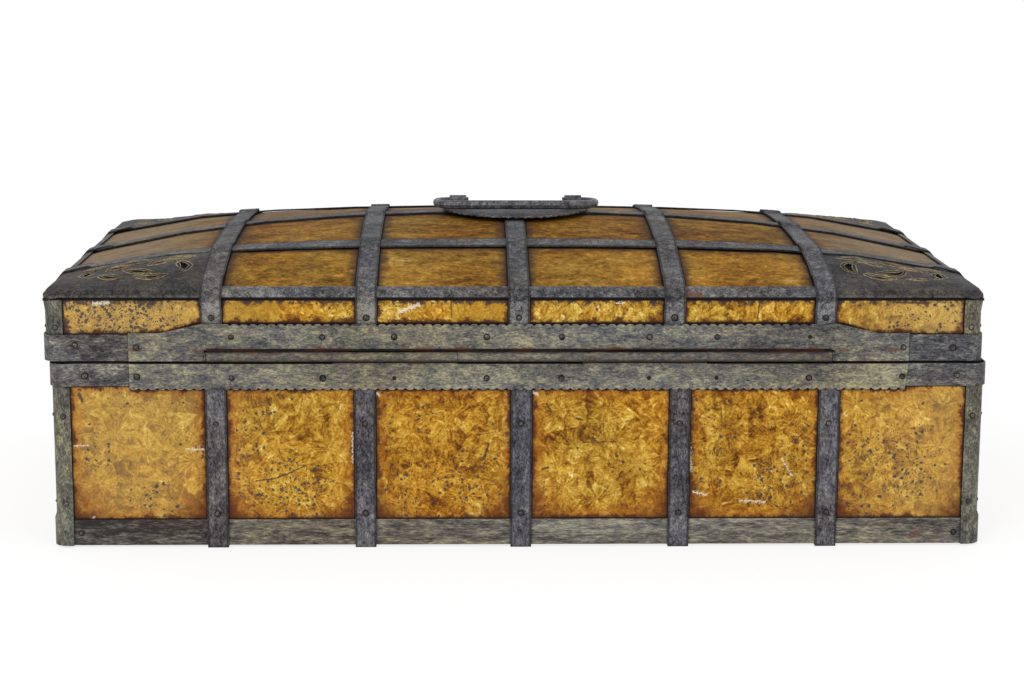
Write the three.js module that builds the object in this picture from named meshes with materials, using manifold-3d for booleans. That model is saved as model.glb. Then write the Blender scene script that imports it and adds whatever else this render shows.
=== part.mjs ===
// An iron-bound travelling chest with a low domed lid, covered in lacquered tinplate.
// Millimetres, +Z up. The hinge side faces -Y, and the chest stands on z = 0.
import * as THREE from 'three';
import { mergeVertices } from 'three/addons/utils/BufferGeometryUtils.js';
import Module from 'manifold-3d';

const wasm = await Module();
wasm.setup();

// Wooden carcass
const boxLength = 598;
const boxDepth = 334;
const boardThickness = 12;
const bottomThickness = 12;
const cornerRadius = 8;
const partingHeight = 122.2;
const partingGap = 0.3;
const eaveHeight = 167;
const staveEdgeThickness = 10;
const staveExtraThickness = 5;

// Rise of the roof above its eaves
const lengthwiseRise = 37.2;
const lengthwisePower = 2.05;
const crosswiseRise = 50.8;
const crosswisePower = 1.24;

// The roof's edge hangs over the boards all round and dips there
const eaveLip = 2.9;
const eaveDip = 3.4;
const roofTinSetBack = 1;

// The lid sits a little to the left of the base
const lidShift = -3;

// Sheet and strip iron
const tinThickness = 0.5;
const strapThickness = 1.2;
const roofGap = 0.3;
const layerGap = 0.3;
const cornerEase = 0.5;
const rampLength = 3.2;
const arcSteps = [0, 22.5, 45, 67.5, 90];
const stationMargin = 0.5;
const breakMargin = 2;
const cutMargin = 1;

// Straps and bands
const strapWidth = 13.5;
const strapLineInset = 1.5;
const baseStrapDrift = [3, -0.5, 1, 4.3, 1.6];
const lidStrapDrift = [4.3, 3.8, 2.2, 2.8, 0.6];
const longBandWidth = 14.5;
const longBandOffset = 96;
const eaveBandWidth = 16;
const cornerStrapReach = 10.5;
const strapEndClearance = 2;
const lidStrapEndHeight = 136;
const strapTuckDrop = 12;
const endStrapFoot = 40;
const footBandHeight = 17;

// Rim bands, which turn round the ends on to the hinge side
const baseRimBandHeight = 14.7;
const baseRimTop = 121.5;
const lidRimBandHeight = 17.1;
const lidRimBottom = 123.3;
const rimBandEnd = 244;

// Hinge
const leafLength = 500;
const baseLeafHeight = 17.2;
const lidLeafEndTop = 141.4;
const lidLeafTop = 147.6;
const lidLeafLevelEnd = 20;
const lidLeafSlopeEnd = 47;
const lidLeafPlainEnd = 59;
const scallopPitch = 5.88;
const scallopDepth = 1.5;
const knuckleLength = 80;
const knuckleCount = 5;
const knuckleGap = 0.4;
const knuckleRadius = 3.35;
const pinRadius = 1.8;
const pinClearance = 0.35;
const pinAxisHeight = 126.7;
const pinHeadRadius = 3;
const pinHeadLength = 1.5;

// Handle
const handlePlateLength = 104;
const handlePlateDepth = 86;
const handlePlateThickness = 1;
const handlePlateTeeth = 56;
const handlePlateToothDepth = 2;
const handleX = 3.7;
const stapleInset = 11.3;
const stapleWidth = 12;
const stapleThickness = 1.1;
const stapleClench = 9;
const stapleLift = 1.9;
const stapleSlotClearance = 0.4;
const pivotRadius = 1.9;
const pivotBoreClearance = 0.4;
const pivotOverhang = 1.5;
const pivotShoulder = 1;
const bailRadius = 3.2;
const bailReach = 28;
const bailEndOverPivot = 15.1;
const bailGripOverPivot = 3;
const bailWidestShare = 0.46;
const bailPullShare = 0.27;

// Pierced corner plates of the lid
const cornerPlateThickness = 1;
const cornerPlateInnerMargin = 6;
const cornerPlateOuterMargin = 15;
const scrollProportion = 0.67;

// Lock inside the front wall
const lockPlateLength = 84;
const lockPlateHeight = 46;
const lockPlateThickness = 1.5;
const lockCaseLength = 66;
const lockCaseHeight = 34;
const lockCaseDepth = 14;
const lockCaseWall = 1.5;
const lockCaseTop = 117;
const lockGuideThickness = 3;
const guideFromTail = 8;
const guideFromTip = 4;
const boltLength = 33;
const boltHeight = 5.6;
const boltThickness = 3.6;
const boltClearance = 0.4;
const boltHeightAbove = 104.5;
const boltTalonWidth = 5;
const boltTalonDepth = 1.8;
const keeperAlong = 18;
const keeperThickness = 4;
const keeperLoopWall = 2.5;
const keeperClearance = 1.5;
const keeperPlateLength = 40;
const keeperPlateBelowRoof = 12;
const keyholeRadius = 2.7;
const keyholeSlotWidth = 2.6;
const keyholeSlotDepth = 7;
const keyholeHeight = 95.5;

// Values worked out from the sizes above
const halfLength = boxLength / 2;
const halfDepth = boxDepth / 2;
const strapCount = baseStrapDrift.length;
const strapPitch = (boxLength - 2 * strapLineInset) / (strapCount + 1);
const baseStrapPlaces = baseStrapDrift.map(strapPlace);
const lidStrapPlaces = lidStrapDrift.map(strapPlace);
const bottomLevel = strapThickness;
const lidLevel = partingHeight + partingGap;
const railTop = eaveHeight - staveEdgeThickness;
const onTin = tinThickness;
const overStrap = onTin + strapThickness;
const overBand = overStrap + strapThickness;
const innerFace = halfDepth - boardThickness;
const lipLow = eaveHeight - eaveDip - layerGap;
const strapTuckHeight = eaveHeight - strapTuckDrop;
const roofTin = roofGap + tinThickness;
const roofOn = roofTin + layerGap;
const roofOver = roofOn + strapThickness + layerGap;
const roofPlate = roofOver + strapThickness + layerGap;
const footBandLow = bottomLevel + layerGap;
const footBandTop = footBandLow + footBandHeight;
const pinAxisDepth = halfDepth + overStrap + knuckleRadius + layerGap;
const knuckleBore = pinRadius + pinClearance;
const stapleX = handlePlateLength / 2 - stapleInset;
const handlePlateTop = roofTop(0, 0) + roofPlate + handlePlateThickness;
const stapleBore = pivotRadius + pivotBoreClearance;
const bailAxisHeight = handlePlateTop + stapleLift + stapleBore;
const lockBack = innerFace - lockPlateThickness - lockCaseDepth;
const lockMiddle = innerFace - lockPlateThickness - lockCaseDepth / 2;

// Finishes
const wood = finish(0x6b3a22, 0.85, 0);
const tin = finish(0xc8982e, 0.38, 0.8);
const roofSheet = finish(0x96651f, 0.42, 0.8);
const iron = finish(0x3b3a3c, 0.55, 0.85);
const wornIron = finish(0x77705f, 0.5, 0.85);

function finish(color, roughness, metalness) {
  return new THREE.MeshStandardMaterial({ color, roughness, metalness });
}

// A strap's place along the chest: its share of the length, and how far the hand-set strap drifts
function strapPlace(drift, index) {
  return (index - (strapCount - 1) / 2) * strapPitch + drift;
}

// How far a place in plan lies outside the boards and their rounded corners
function beyondBoards(x, y) {
  const overX = Math.max(0, Math.abs(x) - halfLength + cornerRadius);
  const overY = Math.max(0, Math.abs(y) - halfDepth + cornerRadius);
  return Math.max(0, Math.hypot(overX, overY) - cornerRadius);
}

// Height of the boards of the roof at a place in plan, and beyond them the height of the dipping lip
function roofTop(x, y) {
  const along = 1 - Math.pow(Math.min(1, Math.abs(x) / halfLength), lengthwisePower);
  const across = 1 - Math.pow(Math.min(1, Math.abs(y) / halfDepth), crosswisePower);
  const rise = 1 / Math.hypot(1 / (lengthwiseRise * along), 1 / (crosswiseRise * across));
  return eaveHeight + rise - (beyondBoards(x, y) * eaveDip) / eaveLip;
}

function roofUnder(x, y) {
  return railTop + Math.max(0, roofTop(x, y) - eaveHeight - staveExtraThickness);
}

// General forms

function signedVolume(geometry) {
  const corner = [new THREE.Vector3(), new THREE.Vector3(), new THREE.Vector3()];
  let volume = 0;
  for (let i = 0; i < geometry.index.count; i += 3) {
    corner.forEach((v, k) => v.fromBufferAttribute(geometry.attributes.position, geometry.index.getX(i + k)));
    volume += corner[0].dot(corner[1].clone().cross(corner[2]));
  }
  return volume;
}

// A closed solid between two grids of points that lie one over the other
function thickSheet(under, over) {
  const rows = under.length;
  const columns = under[0].length;
  const top = rows * columns;
  const triangles = [];
  const quad = (a, b, c, d) => triangles.push(a, b, c, a, c, d);
  for (let i = 0; i < rows - 1; i++) {
    for (let j = 0; j < columns - 1; j++) {
      const a = i * columns + j;
      quad(a, a + 1, a + columns + 1, a + columns);
      quad(top + a, top + a + columns, top + a + columns + 1, top + a + 1);
    }
    const first = i * columns;
    const last = first + columns - 1;
    quad(first, first + columns, top + first + columns, top + first);
    quad(last + columns, last, top + last, top + last + columns);
  }
  for (let j = 0; j < columns - 1; j++) {
    const end = (rows - 1) * columns + j;
    quad(j + 1, j, top + j, top + j + 1);
    quad(end, end + 1, top + end + 1, top + end);
  }
  const geometry = new THREE.BufferGeometry().setFromPoints([...under.flat(), ...over.flat()]);
  geometry.setIndex(triangles);
  if (signedVolume(geometry) < 0) geometry.setIndex(triangles.reverse());
  return geometry;
}

function solid(geometry) {
  const bare = geometry.clone();
  bare.deleteAttribute('normal');
  bare.deleteAttribute('uv');
  const merged = mergeVertices(bare);
  const vertProperties = new Float32Array(merged.attributes.position.array);
  const triVerts = new Uint32Array(merged.index.array);
  return new wasm.Manifold(new wasm.Mesh({ numProp: 3, vertProperties, triVerts }));
}

function fromSolid(manifold) {
  const mesh = manifold.getMesh();
  const geometry = new THREE.BufferGeometry();
  geometry.setAttribute('position', new THREE.BufferAttribute(mesh.vertProperties, 3));
  geometry.setIndex(new THREE.BufferAttribute(mesh.triVerts, 1));
  return geometry;
}

function joined(...pieces) {
  return fromSolid(pieces.map(solid).reduce((sum, piece) => sum.add(piece)));
}

function cut(body, ...tools) {
  return fromSolid(tools.map(solid).reduce((rest, tool) => rest.subtract(tool), solid(body)));
}

function common(body, limit) {
  return fromSolid(solid(body).intersect(solid(limit)));
}

function extruded(shape, depth) {
  return new THREE.ExtrudeGeometry(shape, { depth, bevelEnabled: false });
}

// A plan outline raised from one height to another
function raised(shape, low, high) {
  return extruded(shape, high - low).translate(0, 0, low);
}

// A profile in depth and height, carried along the length of the chest
function alongX(shape, from, to) {
  const basis = new THREE.Matrix4().makeBasis(
    new THREE.Vector3(0, 1, 0), new THREE.Vector3(0, 0, 1), new THREE.Vector3(1, 0, 0));
  return extruded(shape, to - from).applyMatrix4(basis).translate(from, 0, 0);
}

// A profile in length and height, carried through the depth of the chest
function alongY(shape, from, to) {
  const basis = new THREE.Matrix4().makeBasis(
    new THREE.Vector3(1, 0, 0), new THREE.Vector3(0, 0, 1), new THREE.Vector3(0, -1, 0));
  return extruded(shape, to - from).applyMatrix4(basis).translate(0, to, 0);
}

function block(x0, x1, y0, y1, z0, z1) {
  return new THREE.BoxGeometry(x1 - x0, y1 - y0, z1 - z0)
    .translate((x0 + x1) / 2, (y0 + y1) / 2, (z0 + z1) / 2);
}

function point(x, y) {
  return new THREE.Vector2(x, y);
}

// An outline runs anticlockwise and its holes run clockwise, also where a piece is mirrored
function outline(points, holes = []) {
  const turned = (line, way) => (way * THREE.ShapeUtils.area(line) < 0 ? [...line].reverse() : line);
  const shape = new THREE.Shape(turned(points, 1));
  shape.holes = holes.map((hole) => new THREE.Path(turned(hole, -1)));
  return shape;
}

// A strip bent along a path, with its thickness on the right of the way that the path runs
function ribbon(path, thickness) {
  const offset = path.map((here, i) => {
    const before = path[Math.max(0, i - 1)];
    const after = path[Math.min(path.length - 1, i + 1)];
    const normals = [];
    if (i > 0) normals.push(rightOf(before, here));
    if (i < path.length - 1) normals.push(rightOf(here, after));
    const mean = normals.reduce((sum, n) => sum.add(n), point(0, 0)).normalize();
    return here.clone().addScaledVector(mean, thickness / mean.dot(normals[0]));
  });
  return outline([...path, ...offset.reverse()]);
}

function rightOf(from, to) {
  const way = to.clone().sub(from).normalize();
  return point(way.y, -way.x);
}

// Plan lines of the carcass. Each layer outside another has a corner that is a little sharper,
// so that the layers touch on the flats and keep clear on the corners.

function cornerArc(signX, signY, layer, offset) {
  const ease = cornerRadius - layer * cornerEase;
  const radius = ease + offset;
  const start = signX > 0 ? (signY > 0 ? 0 : -90) : (signY > 0 ? 90 : 180);
  return arcSteps.map((step) => {
    const angle = THREE.MathUtils.degToRad(start + step);
    return point(
      signX * (halfLength - ease) + radius * Math.cos(angle),
      signY * (halfDepth - ease) + radius * Math.sin(angle));
  });
}

function loop(layer, offset) {
  return [
    ...cornerArc(1, -1, layer, offset),
    ...cornerArc(1, 1, layer, offset),
    ...cornerArc(-1, 1, layer, offset),
    ...cornerArc(-1, -1, layer, offset),
  ];
}

function ring(layer, from, to) {
  return outline(loop(layer, to), [loop(layer, from)]);
}

// Stations for the curved roof
function evenStations(from, to, count) {
  return Array.from({ length: count + 1 }, (_, i) => from + ((to - from) * i) / count);
}

const innerEnd = halfLength - boardThickness;
const roundEnd = halfLength - cornerRadius;
const roundFace = halfDepth - cornerRadius;
const lengthStations = [-halfLength, -roundEnd, ...evenStations(-innerEnd, innerEnd, 10), roundEnd, halfLength];
const depthShares = [0.08, 0.2, 1 / 3, 0.55, 0.78];
const depthPlaces = [...depthShares.map((share) => share * halfDepth), innerFace, roundFace, halfDepth];
const depthStations = [...depthPlaces.map((y) => -y).reverse(), 0, ...depthPlaces];

function within(stations, from, to) {
  const inside = stations.filter((s) => s > from + stationMargin && s < to - stationMargin);
  return [from, ...inside, to];
}

function withLip(stations) {
  const reach = Math.max(...stations) + eaveLip;
  return [-reach, ...stations, reach];
}

// A plan outline laid on the roof between two heights above its boards. Every sheet on the roof
// shares these facets, so that the gaps between the sheets are even.
function laidOnRoof(shape, low, high) {
  const ys = withLip(depthStations);
  const grid = (above) => withLip(lengthStations).map((x) => ys.map(
    (y) => new THREE.Vector3(x, y, roofTop(x, y) + above)));
  return common(thickSheet(grid(low), grid(high)), raised(shape, lipLow - eaveLip, handlePlateTop + cutMargin));
}

function rectangle(x0, x1, y0, y1) {
  return outline([point(x0, y0), point(x1, y0), point(x1, y1), point(x0, y1)]);
}

// Boards

function longBoard(side, low, high) {
  const outer = [...cornerArc(1, side, 0, 0), ...cornerArc(-1, side, 0, 0)];
  const ordered = side > 0 ? outer : [...cornerArc(-1, side, 0, 0), ...cornerArc(1, side, 0, 0)];
  const first = ordered[0].x;
  return raised(outline([point(first, side * innerFace), ...ordered, point(-first, side * innerFace)]), low, high);
}

function endBoard(side, low, high) {
  const [x0, x1] = side > 0 ? [innerEnd, halfLength] : [-halfLength, -innerEnd];
  return block(x0, x1, -innerFace, innerFace, low, high);
}

function bottomBoard() {
  return block(-innerEnd, innerEnd, -innerFace, innerFace, bottomLevel, bottomLevel + bottomThickness);
}

// The lid's frame of four rails, glued into one
function lidFrame() {
  const hollow = [
    point(-innerEnd, -innerFace), point(innerEnd, -innerFace), point(innerEnd, innerFace), point(-innerEnd, innerFace)];
  return raised(outline(loop(0, 0), [hollow]), lidLevel, railTop);
}

function roofStave(from, to) {
  const ys = within(depthStations, from, to);
  const grid = (height) => lengthStations.map((x) => ys.map((y) => new THREE.Vector3(x, y, height(x, y))));
  const stave = thickSheet(grid(roofUnder), grid(roofTop));
  return common(stave, raised(outline(loop(0, 0)), railTop, eaveHeight + crosswiseRise));
}

// Keyhole, cut through everything that the key passes
function keyhole() {
  const half = keyholeSlotWidth / 2;
  const start = Math.asin(half / keyholeRadius) - Math.PI / 2;
  const shape = new THREE.Shape();
  shape.moveTo(-half, keyholeHeight - keyholeSlotDepth);
  shape.lineTo(half, keyholeHeight - keyholeSlotDepth);
  shape.absarc(0, keyholeHeight, keyholeRadius, start, Math.PI - start, false);
  return alongY(shape, innerFace - lockPlateThickness - cutMargin, halfDepth + overBand + cutMargin);
}

// Straps of the base, bent round the foot band

function baseStrap(x) {
  const top = baseRimTop - strapEndClearance;
  const clear = footBandTop + layerGap;
  const side = [
    point(halfDepth + onTin, top),
    point(halfDepth + onTin, clear + rampLength),
    point(halfDepth + overStrap, clear),
    point(halfDepth + overStrap, bottomLevel),
  ];
  const back = side.map((p) => point(-p.x, p.y));
  return alongX(ribbon([...back, ...side.reverse()], strapThickness), x - strapWidth / 2, x + strapWidth / 2);
}

function baseEndStrap(side, y) {
  const top = baseRimTop - strapEndClearance;
  const clear = footBandTop + layerGap;
  const path = [
    point(-halfLength - onTin, top),
    point(-halfLength - onTin, clear + rampLength),
    point(-halfLength - overStrap, clear),
    point(-halfLength - overStrap, bottomLevel),
    point(-halfLength + endStrapFoot, bottomLevel),
  ];
  const turned = side < 0 ? path : path.map((p) => point(-p.x, p.y)).reverse();
  return alongY(ribbon(turned, strapThickness), y - strapWidth / 2, y + strapWidth / 2);
}

// A strip folded round an upright corner. Its levels say how far out it lies at each height.
function cornerStrap(signX, signY, levels) {
  const layer = 3;
  const ease = cornerRadius - layer * cornerEase;
  const arc = arcSteps.map((step) => THREE.MathUtils.degToRad(step));
  const plan = [
    { x: halfLength, y: halfDepth - cornerStrapReach, nx: 1, ny: 0 },
    ...arc.map((a) => ({
      x: halfLength - ease + ease * Math.cos(a),
      y: halfDepth - ease + ease * Math.sin(a),
      nx: Math.cos(a),
      ny: Math.sin(a),
    })),
    { x: halfLength - cornerStrapReach, y: halfDepth, nx: 0, ny: 1 },
  ];
  const grid = (extra) => levels.map(([z, out]) => plan.map((p) => new THREE.Vector3(
    signX * (p.x + p.nx * (out + extra)), signY * (p.y + p.ny * (out + extra)), z)));
  return thickSheet(grid(0), grid(strapThickness));
}

function baseCornerLevels() {
  const clear = footBandTop + layerGap;
  return [
    [footBandLow - layerGap, overStrap],
    [clear, overStrap],
    [clear + rampLength, onTin],
    [baseRimTop - strapEndClearance, onTin],
  ];
}

function lidCornerLevels() {
  return [
    [lidRimBottom + strapEndClearance, onTin],
    [strapTuckHeight, onTin],
    [lipLow - 2 * layerGap, eaveLip - strapThickness],
  ];
}

// A band round the ends and the front, over the straps, that drops to the tin on the hinge side
function rimBand(low, high) {
  const layer = 4;
  const strapEdge = halfLength - cornerStrapReach - layerGap;
  const onBack = -halfDepth - onTin;
  const overBack = -halfDepth - overStrap;
  const start = [point(rimBandEnd, onBack), point(strapEdge - rampLength, onBack), point(strapEdge, overBack)];
  const end = start.map((p) => point(-p.x, p.y)).reverse();
  const path = [
    ...start,
    ...cornerArc(1, -1, layer, overStrap),
    ...cornerArc(1, 1, layer, overStrap),
    ...cornerArc(-1, 1, layer, overStrap),
    ...cornerArc(-1, -1, layer, overStrap),
    ...end,
  ];
  return raised(ribbon(path, strapThickness), low, high);
}

// Strips on the roof. A lift raises a strip where it passes over another one.

function liftedStations(stations, spans, reach) {
  const breaks = spans.flatMap(([a, b]) => [a - rampLength, a, b, b + rampLength]);
  const kept = breaks.filter((s) => Math.abs(s) < reach);
  const plain = stations.filter((s) => Math.abs(s) < reach && kept.every((k) => Math.abs(k - s) > breakMargin));
  return [...kept, ...plain].sort((a, b) => a - b);
}

function liftAt(s, spans) {
  const raise = spans.map(([a, b]) => {
    const outside = Math.max(a - s, s - b, 0);
    return Math.max(0, 1 - outside / rampLength);
  });
  return roofOn + (roofOver - roofOn) * Math.max(0, ...raise);
}

function eaveSpans(half) {
  const inner = half - eaveBandWidth - layerGap;
  const outer = half + eaveLip + rampLength;
  return [[-outer, -inner], [inner, outer]];
}

// A strip over the whole roof: up one wall, round the lip, over the roof and down the other wall.
// Places along it and across it are turned into length and depth by the plan.
function roofStrip(half, stations, spans, columns, plan) {
  const wall = half + onTin;
  const lip = half + eaveLip + layerGap;
  const along = liftedStations(stations, spans, half + eaveLip);
  const over = (s, c, above) => roofTop(...plan(s, c)) + above;
  const line = (extra) => {
    const side = [
      [wall + extra, () => lidStrapEndHeight],
      [wall + extra, () => strapTuckHeight],
      [lip + extra, () => lipLow],
      [lip + extra, (c) => over(lip + extra, c, roofOver + extra)],
    ];
    const crown = along.map((s) => [s, (c) => over(s, c, liftAt(s, spans) + extra)]);
    const path = [...side.map(([s, height]) => [-s, height]), ...crown, ...side.reverse()];
    return path.map(([s, height]) => columns.map((c) => new THREE.Vector3(...plan(s, c), height(c))));
  };
  return thickSheet(line(0), line(strapThickness));
}

function crossStrap(x) {
  const half = longBandWidth / 2 + layerGap;
  const bands = [-longBandOffset, 0, longBandOffset].map((y) => [y - half, y + half]);
  const columns = [x - strapWidth / 2, x + strapWidth / 2];
  return roofStrip(halfDepth, depthStations, [...eaveSpans(halfDepth), ...bands], columns, (s, c) => [c, s]);
}

function longBand(y) {
  const columns = within([0], y - longBandWidth / 2, y + longBandWidth / 2);
  return roofStrip(halfLength, lengthStations, eaveSpans(halfLength), columns, (s, c) => [s, c]);
}

// Plan limits of the corner plates, which the eave bands run between
const plateStartY = longBandOffset + longBandWidth / 2 + layerGap;

function plateStartX(side) {
  const strap = lidStrapPlaces[side < 0 ? 0 : strapCount - 1];
  return Math.abs(strap) + strapWidth / 2 + layerGap;
}

function longEaveBand(side) {
  const [inner, outer] = [halfDepth - eaveBandWidth, halfDepth + eaveLip];
  const ys = side > 0 ? [inner, outer] : [-outer, -inner];
  const shape = rectangle(-plateStartX(-1) + layerGap, plateStartX(1) - layerGap, ...ys);
  return laidOnRoof(shape, roofOn, roofOn + strapThickness);
}

function endEaveBand(side) {
  const [inner, outer] = [halfLength - eaveBandWidth, halfLength + eaveLip];
  const xs = side > 0 ? [inner, outer] : [-outer, -inner];
  const shape = rectangle(...xs, -plateStartY + layerGap, plateStartY - layerGap);
  return laidOnRoof(shape, roofOn, roofOn + strapThickness);
}

// Pierced corner plate: leaves bent along a running scroll, in a plain margin

// A leaf-shaped opening along an arc, pointed at both ends
function leafHole(cx, cy, length, width, turn, bend) {
  const shares = evenStations(0, 1, 4);
  const at = (t, side) => {
    const along = (t - 0.5) * length;
    const arch = bend * length * (1 - 4 * (t - 0.5) ** 2);
    const across = arch + (side * width * Math.sin(Math.PI * t)) / 2;
    const a = THREE.MathUtils.degToRad(turn);
    return point(cx + along * Math.cos(a) - across * Math.sin(a), cy + along * Math.sin(a) + across * Math.cos(a));
  };
  return [...shares.map((t) => at(t, 1)), ...shares.slice(1, -1).reverse().map((t) => at(t, -1))];
}

// Places are shares of the pierced field, from -1 to 1. Length and width are shares of its height.
const scrollLeaves = [
  { u: -0.66, v: 0.1, length: 1.05, width: 0.26, turn: 97, bend: 0.26 },
  { u: -0.36, v: -0.3, length: 0.62, width: 0.26, turn: 205, bend: 0.22 },
  { u: -0.66, v: -0.8, length: 0.8, width: 0.2, turn: 4, bend: -0.12 },
  { u: -0.28, v: 0.74, length: 0.86, width: 0.22, turn: 6, bend: 0.16 },
  { u: -0.04, v: 0.24, length: 0.95, width: 0.24, turn: -24, bend: 0.18 },
  { u: 0.1, v: -0.72, length: 0.95, width: 0.26, turn: 8, bend: -0.14 },
  { u: 0.34, v: -0.22, length: 0.62, width: 0.24, turn: -150, bend: 0.24 },
  { u: 0.7, v: 0.2, length: 1.05, width: 0.24, turn: -84, bend: 0.26 },
  { u: 0.76, v: -0.74, length: 0.62, width: 0.2, turn: 24, bend: -0.14 },
  { u: 0.4, v: 0.74, length: 0.62, width: 0.2, turn: -14, bend: 0.14 },
];

function cornerPlate(signX, signY) {
  const startX = plateStartX(signX);
  const low = point(startX + cornerPlateInnerMargin, plateStartY + cornerPlateInnerMargin);
  const high = point(halfLength - cornerPlateOuterMargin, halfDepth - cornerPlateOuterMargin);
  const middle = low.clone().add(high).multiplyScalar(0.5);
  const half = high.clone().sub(low).multiplyScalar(0.5);
  const unit = Math.min(half.x * scrollProportion, half.y);
  const holes = scrollLeaves.map(({ u, v, length, width, turn, bend }) => leafHole(
    middle.x + u * half.x, middle.y + v * half.y, length * unit, width * unit, turn, bend));
  const rim = [
    point(startX, plateStartY),
    point(halfLength + eaveLip, plateStartY),
    ...cornerArc(1, 1, 2, eaveLip),
    point(startX, halfDepth + eaveLip),
  ];
  const place = (points) => points.map((p) => point(signX * p.x, signY * p.y));
  return laidOnRoof(outline(place(rim), holes.map(place)), roofOn, roofOn + cornerPlateThickness);
}

// Hinge

function pinAxis(geometry) {
  return geometry.translate(0, -pinAxisDepth, pinAxisHeight);
}

function knuckleSpan(index) {
  const from = (index - knuckleCount / 2) * knuckleLength;
  return [from + knuckleGap / 2, from + knuckleLength - knuckleGap / 2];
}

function circle(radius, sides) {
  return evenStations(0, 2 * Math.PI, sides).slice(0, sides)
    .map((a) => point(radius * Math.cos(a), radius * Math.sin(a)));
}

function knuckle(index) {
  const [from, to] = knuckleSpan(index);
  return pinAxis(alongX(outline(circle(knuckleRadius, 16), [circle(knuckleBore, 16)]), from, to));
}

function knuckleTail(index, leafEdge) {
  const [from, to] = knuckleSpan(index);
  const low = Math.min(pinAxisHeight, leafEdge);
  const high = Math.max(pinAxisHeight, leafEdge);
  return block(from, to, -halfDepth - overBand, -halfDepth - overStrap, low, high);
}

// A scalloped edge from one x to another, cut out of the height given
function scallops(from, to, height, way) {
  const count = Math.max(1, Math.round(Math.abs(to - from) / scallopPitch));
  const pitch = (to - from) / count;
  return Array.from({ length: count }, (_, k) => [0, 0.3, 0.7].map((t) => point(
    from + pitch * (k + t), height - way * scallopDepth * (1 - Math.sin(Math.PI * t))))).flat();
}

function leafPlate(points) {
  return alongY(outline(points), -halfDepth - overBand, -halfDepth - overStrap);
}

function baseLeaf() {
  const half = leafLength / 2;
  const edge = scallops(-half, half, baseRimTop - baseLeafHeight, -1);
  const plate = leafPlate([...edge, point(half, baseRimTop), point(-half, baseRimTop)]);
  const own = [1, 3].flatMap((i) => [knuckle(i), knuckleTail(i, baseRimTop - cutMargin)]);
  return joined(plate, ...own);
}

function lidLeaf() {
  const half = leafLength / 2;
  const barrel = (knuckleCount * knuckleLength) / 2 + pinHeadLength + 2 * layerGap;
  const raisedEdge = pinAxisHeight + knuckleRadius + layerGap;
  const slope = [
    point(half, lidLeafEndTop), point(half - lidLeafLevelEnd, lidLeafEndTop), point(half - lidLeafSlopeEnd, lidLeafTop)];
  const top = [
    ...slope,
    ...scallops(half - lidLeafPlainEnd, -half + lidLeafPlainEnd, lidLeafTop, 1),
    ...slope.map((p) => point(-p.x, p.y)).reverse(),
  ];
  const plate = leafPlate([
    point(-half, lidRimBottom),
    point(-barrel, lidRimBottom),
    point(-barrel, raisedEdge),
    point(barrel, raisedEdge),
    point(barrel, lidRimBottom),
    point(half, lidRimBottom),
    ...top,
  ]);
  const own = [0, 2, 4].flatMap((i) => [knuckle(i), knuckleTail(i, raisedEdge + cutMargin)]);
  return joined(plate, ...own);
}

function hingePin() {
  const half = (knuckleCount * knuckleLength) / 2 + layerGap;
  const end = half + pinHeadLength;
  const profile = [
    point(0, -end),
    point(pinHeadRadius * 0.6, -end),
    point(pinHeadRadius, -end + pinHeadLength * 0.4),
    point(pinHeadRadius, -half),
    point(pinRadius, -half),
  ];
  const mirrored = profile.map((p) => point(p.x, -p.y)).reverse();
  return pinAxis(new THREE.LatheGeometry([...profile, ...mirrored], 12).rotateZ(-Math.PI / 2));
}

// Handle

// Slots for the legs of the staples, cut through everything that they pass
function stapleSlots() {
  const half = stapleWidth / 2 + stapleSlotClearance;
  const near = stapleBore - stapleSlotClearance;
  const far = stapleBore + stapleThickness + stapleSlotClearance;
  return [-1, 1].map((side) => handleX + side * stapleX).flatMap((x) => [[near, far], [-far, -near]].map(
    ([y0, y1]) => block(x - half, x + half, y0, y1, railTop, bailAxisHeight)));
}

function handlePlate() {
  const a = handlePlateLength / 2;
  const b = handlePlateDepth / 2;
  const count = handlePlateTeeth * 2;
  const rim = evenStations(0, 2 * Math.PI, count).slice(0, count).map((t, i) => {
    const dip = i % 2 ? handlePlateToothDepth : 0;
    return point(handleX + (a - dip) * Math.cos(t), (b - dip) * Math.sin(t));
  });
  const plate = laidOnRoof(outline(rim), roofPlate, roofPlate + handlePlateThickness);
  return cut(plate, ...stapleSlots());
}

// A staple of strip iron, bent over the pivot of the bail. Its legs pass through the roof and are
// clenched outwards under it.
function handleStaple(side) {
  const foot = stapleBore + stapleThickness + stapleClench;
  const low = roofUnder(handleX + stapleX + stapleWidth / 2, foot) - layerGap - stapleThickness;
  const arch = evenStations(0, Math.PI, 8).map((a) => point(
    stapleBore * Math.cos(a), bailAxisHeight + stapleBore * Math.sin(a)));
  const path = [point(foot, low), point(stapleBore, low), ...arch, point(-stapleBore, low), point(-foot, low)];
  const x = handleX + side * stapleX;
  return alongX(ribbon(path, stapleThickness), x - stapleWidth / 2, x + stapleWidth / 2);
}

// The middle line of the bail in its own plane, with its pivots on X and its grip towards -Y. Each
// pivot runs through its staple, and the arm bends forward and comes round to the grip.
function bailLine() {
  const bend = (...points) => new THREE.CubicBezierCurve(...points.map(([x, y]) => point(x, y))).getPoints(7);
  const tip = stapleX - stapleWidth / 2 - pivotOverhang;
  const shoulder = stapleX + stapleWidth / 2 + pivotShoulder;
  const widestX = stapleX + bailEndOverPivot;
  const widestY = -bailReach * bailWidestShare;
  const gripX = stapleX + bailGripOverPivot;
  const pull = bailReach * bailPullShare;
  const arm = bend([shoulder, 0], [(shoulder + widestX) / 2, 0], [widestX, widestY + pull], [widestX, widestY]);
  const end = bend([widestX, widestY], [widestX, widestY - pull], [gripX + pull, -bailReach], [gripX, -bailReach]);
  const half = [point(tip, 0), ...arm, ...end.slice(1)];
  return [...half, ...half.map((p) => point(-p.x, p.y)).reverse()];
}

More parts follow.
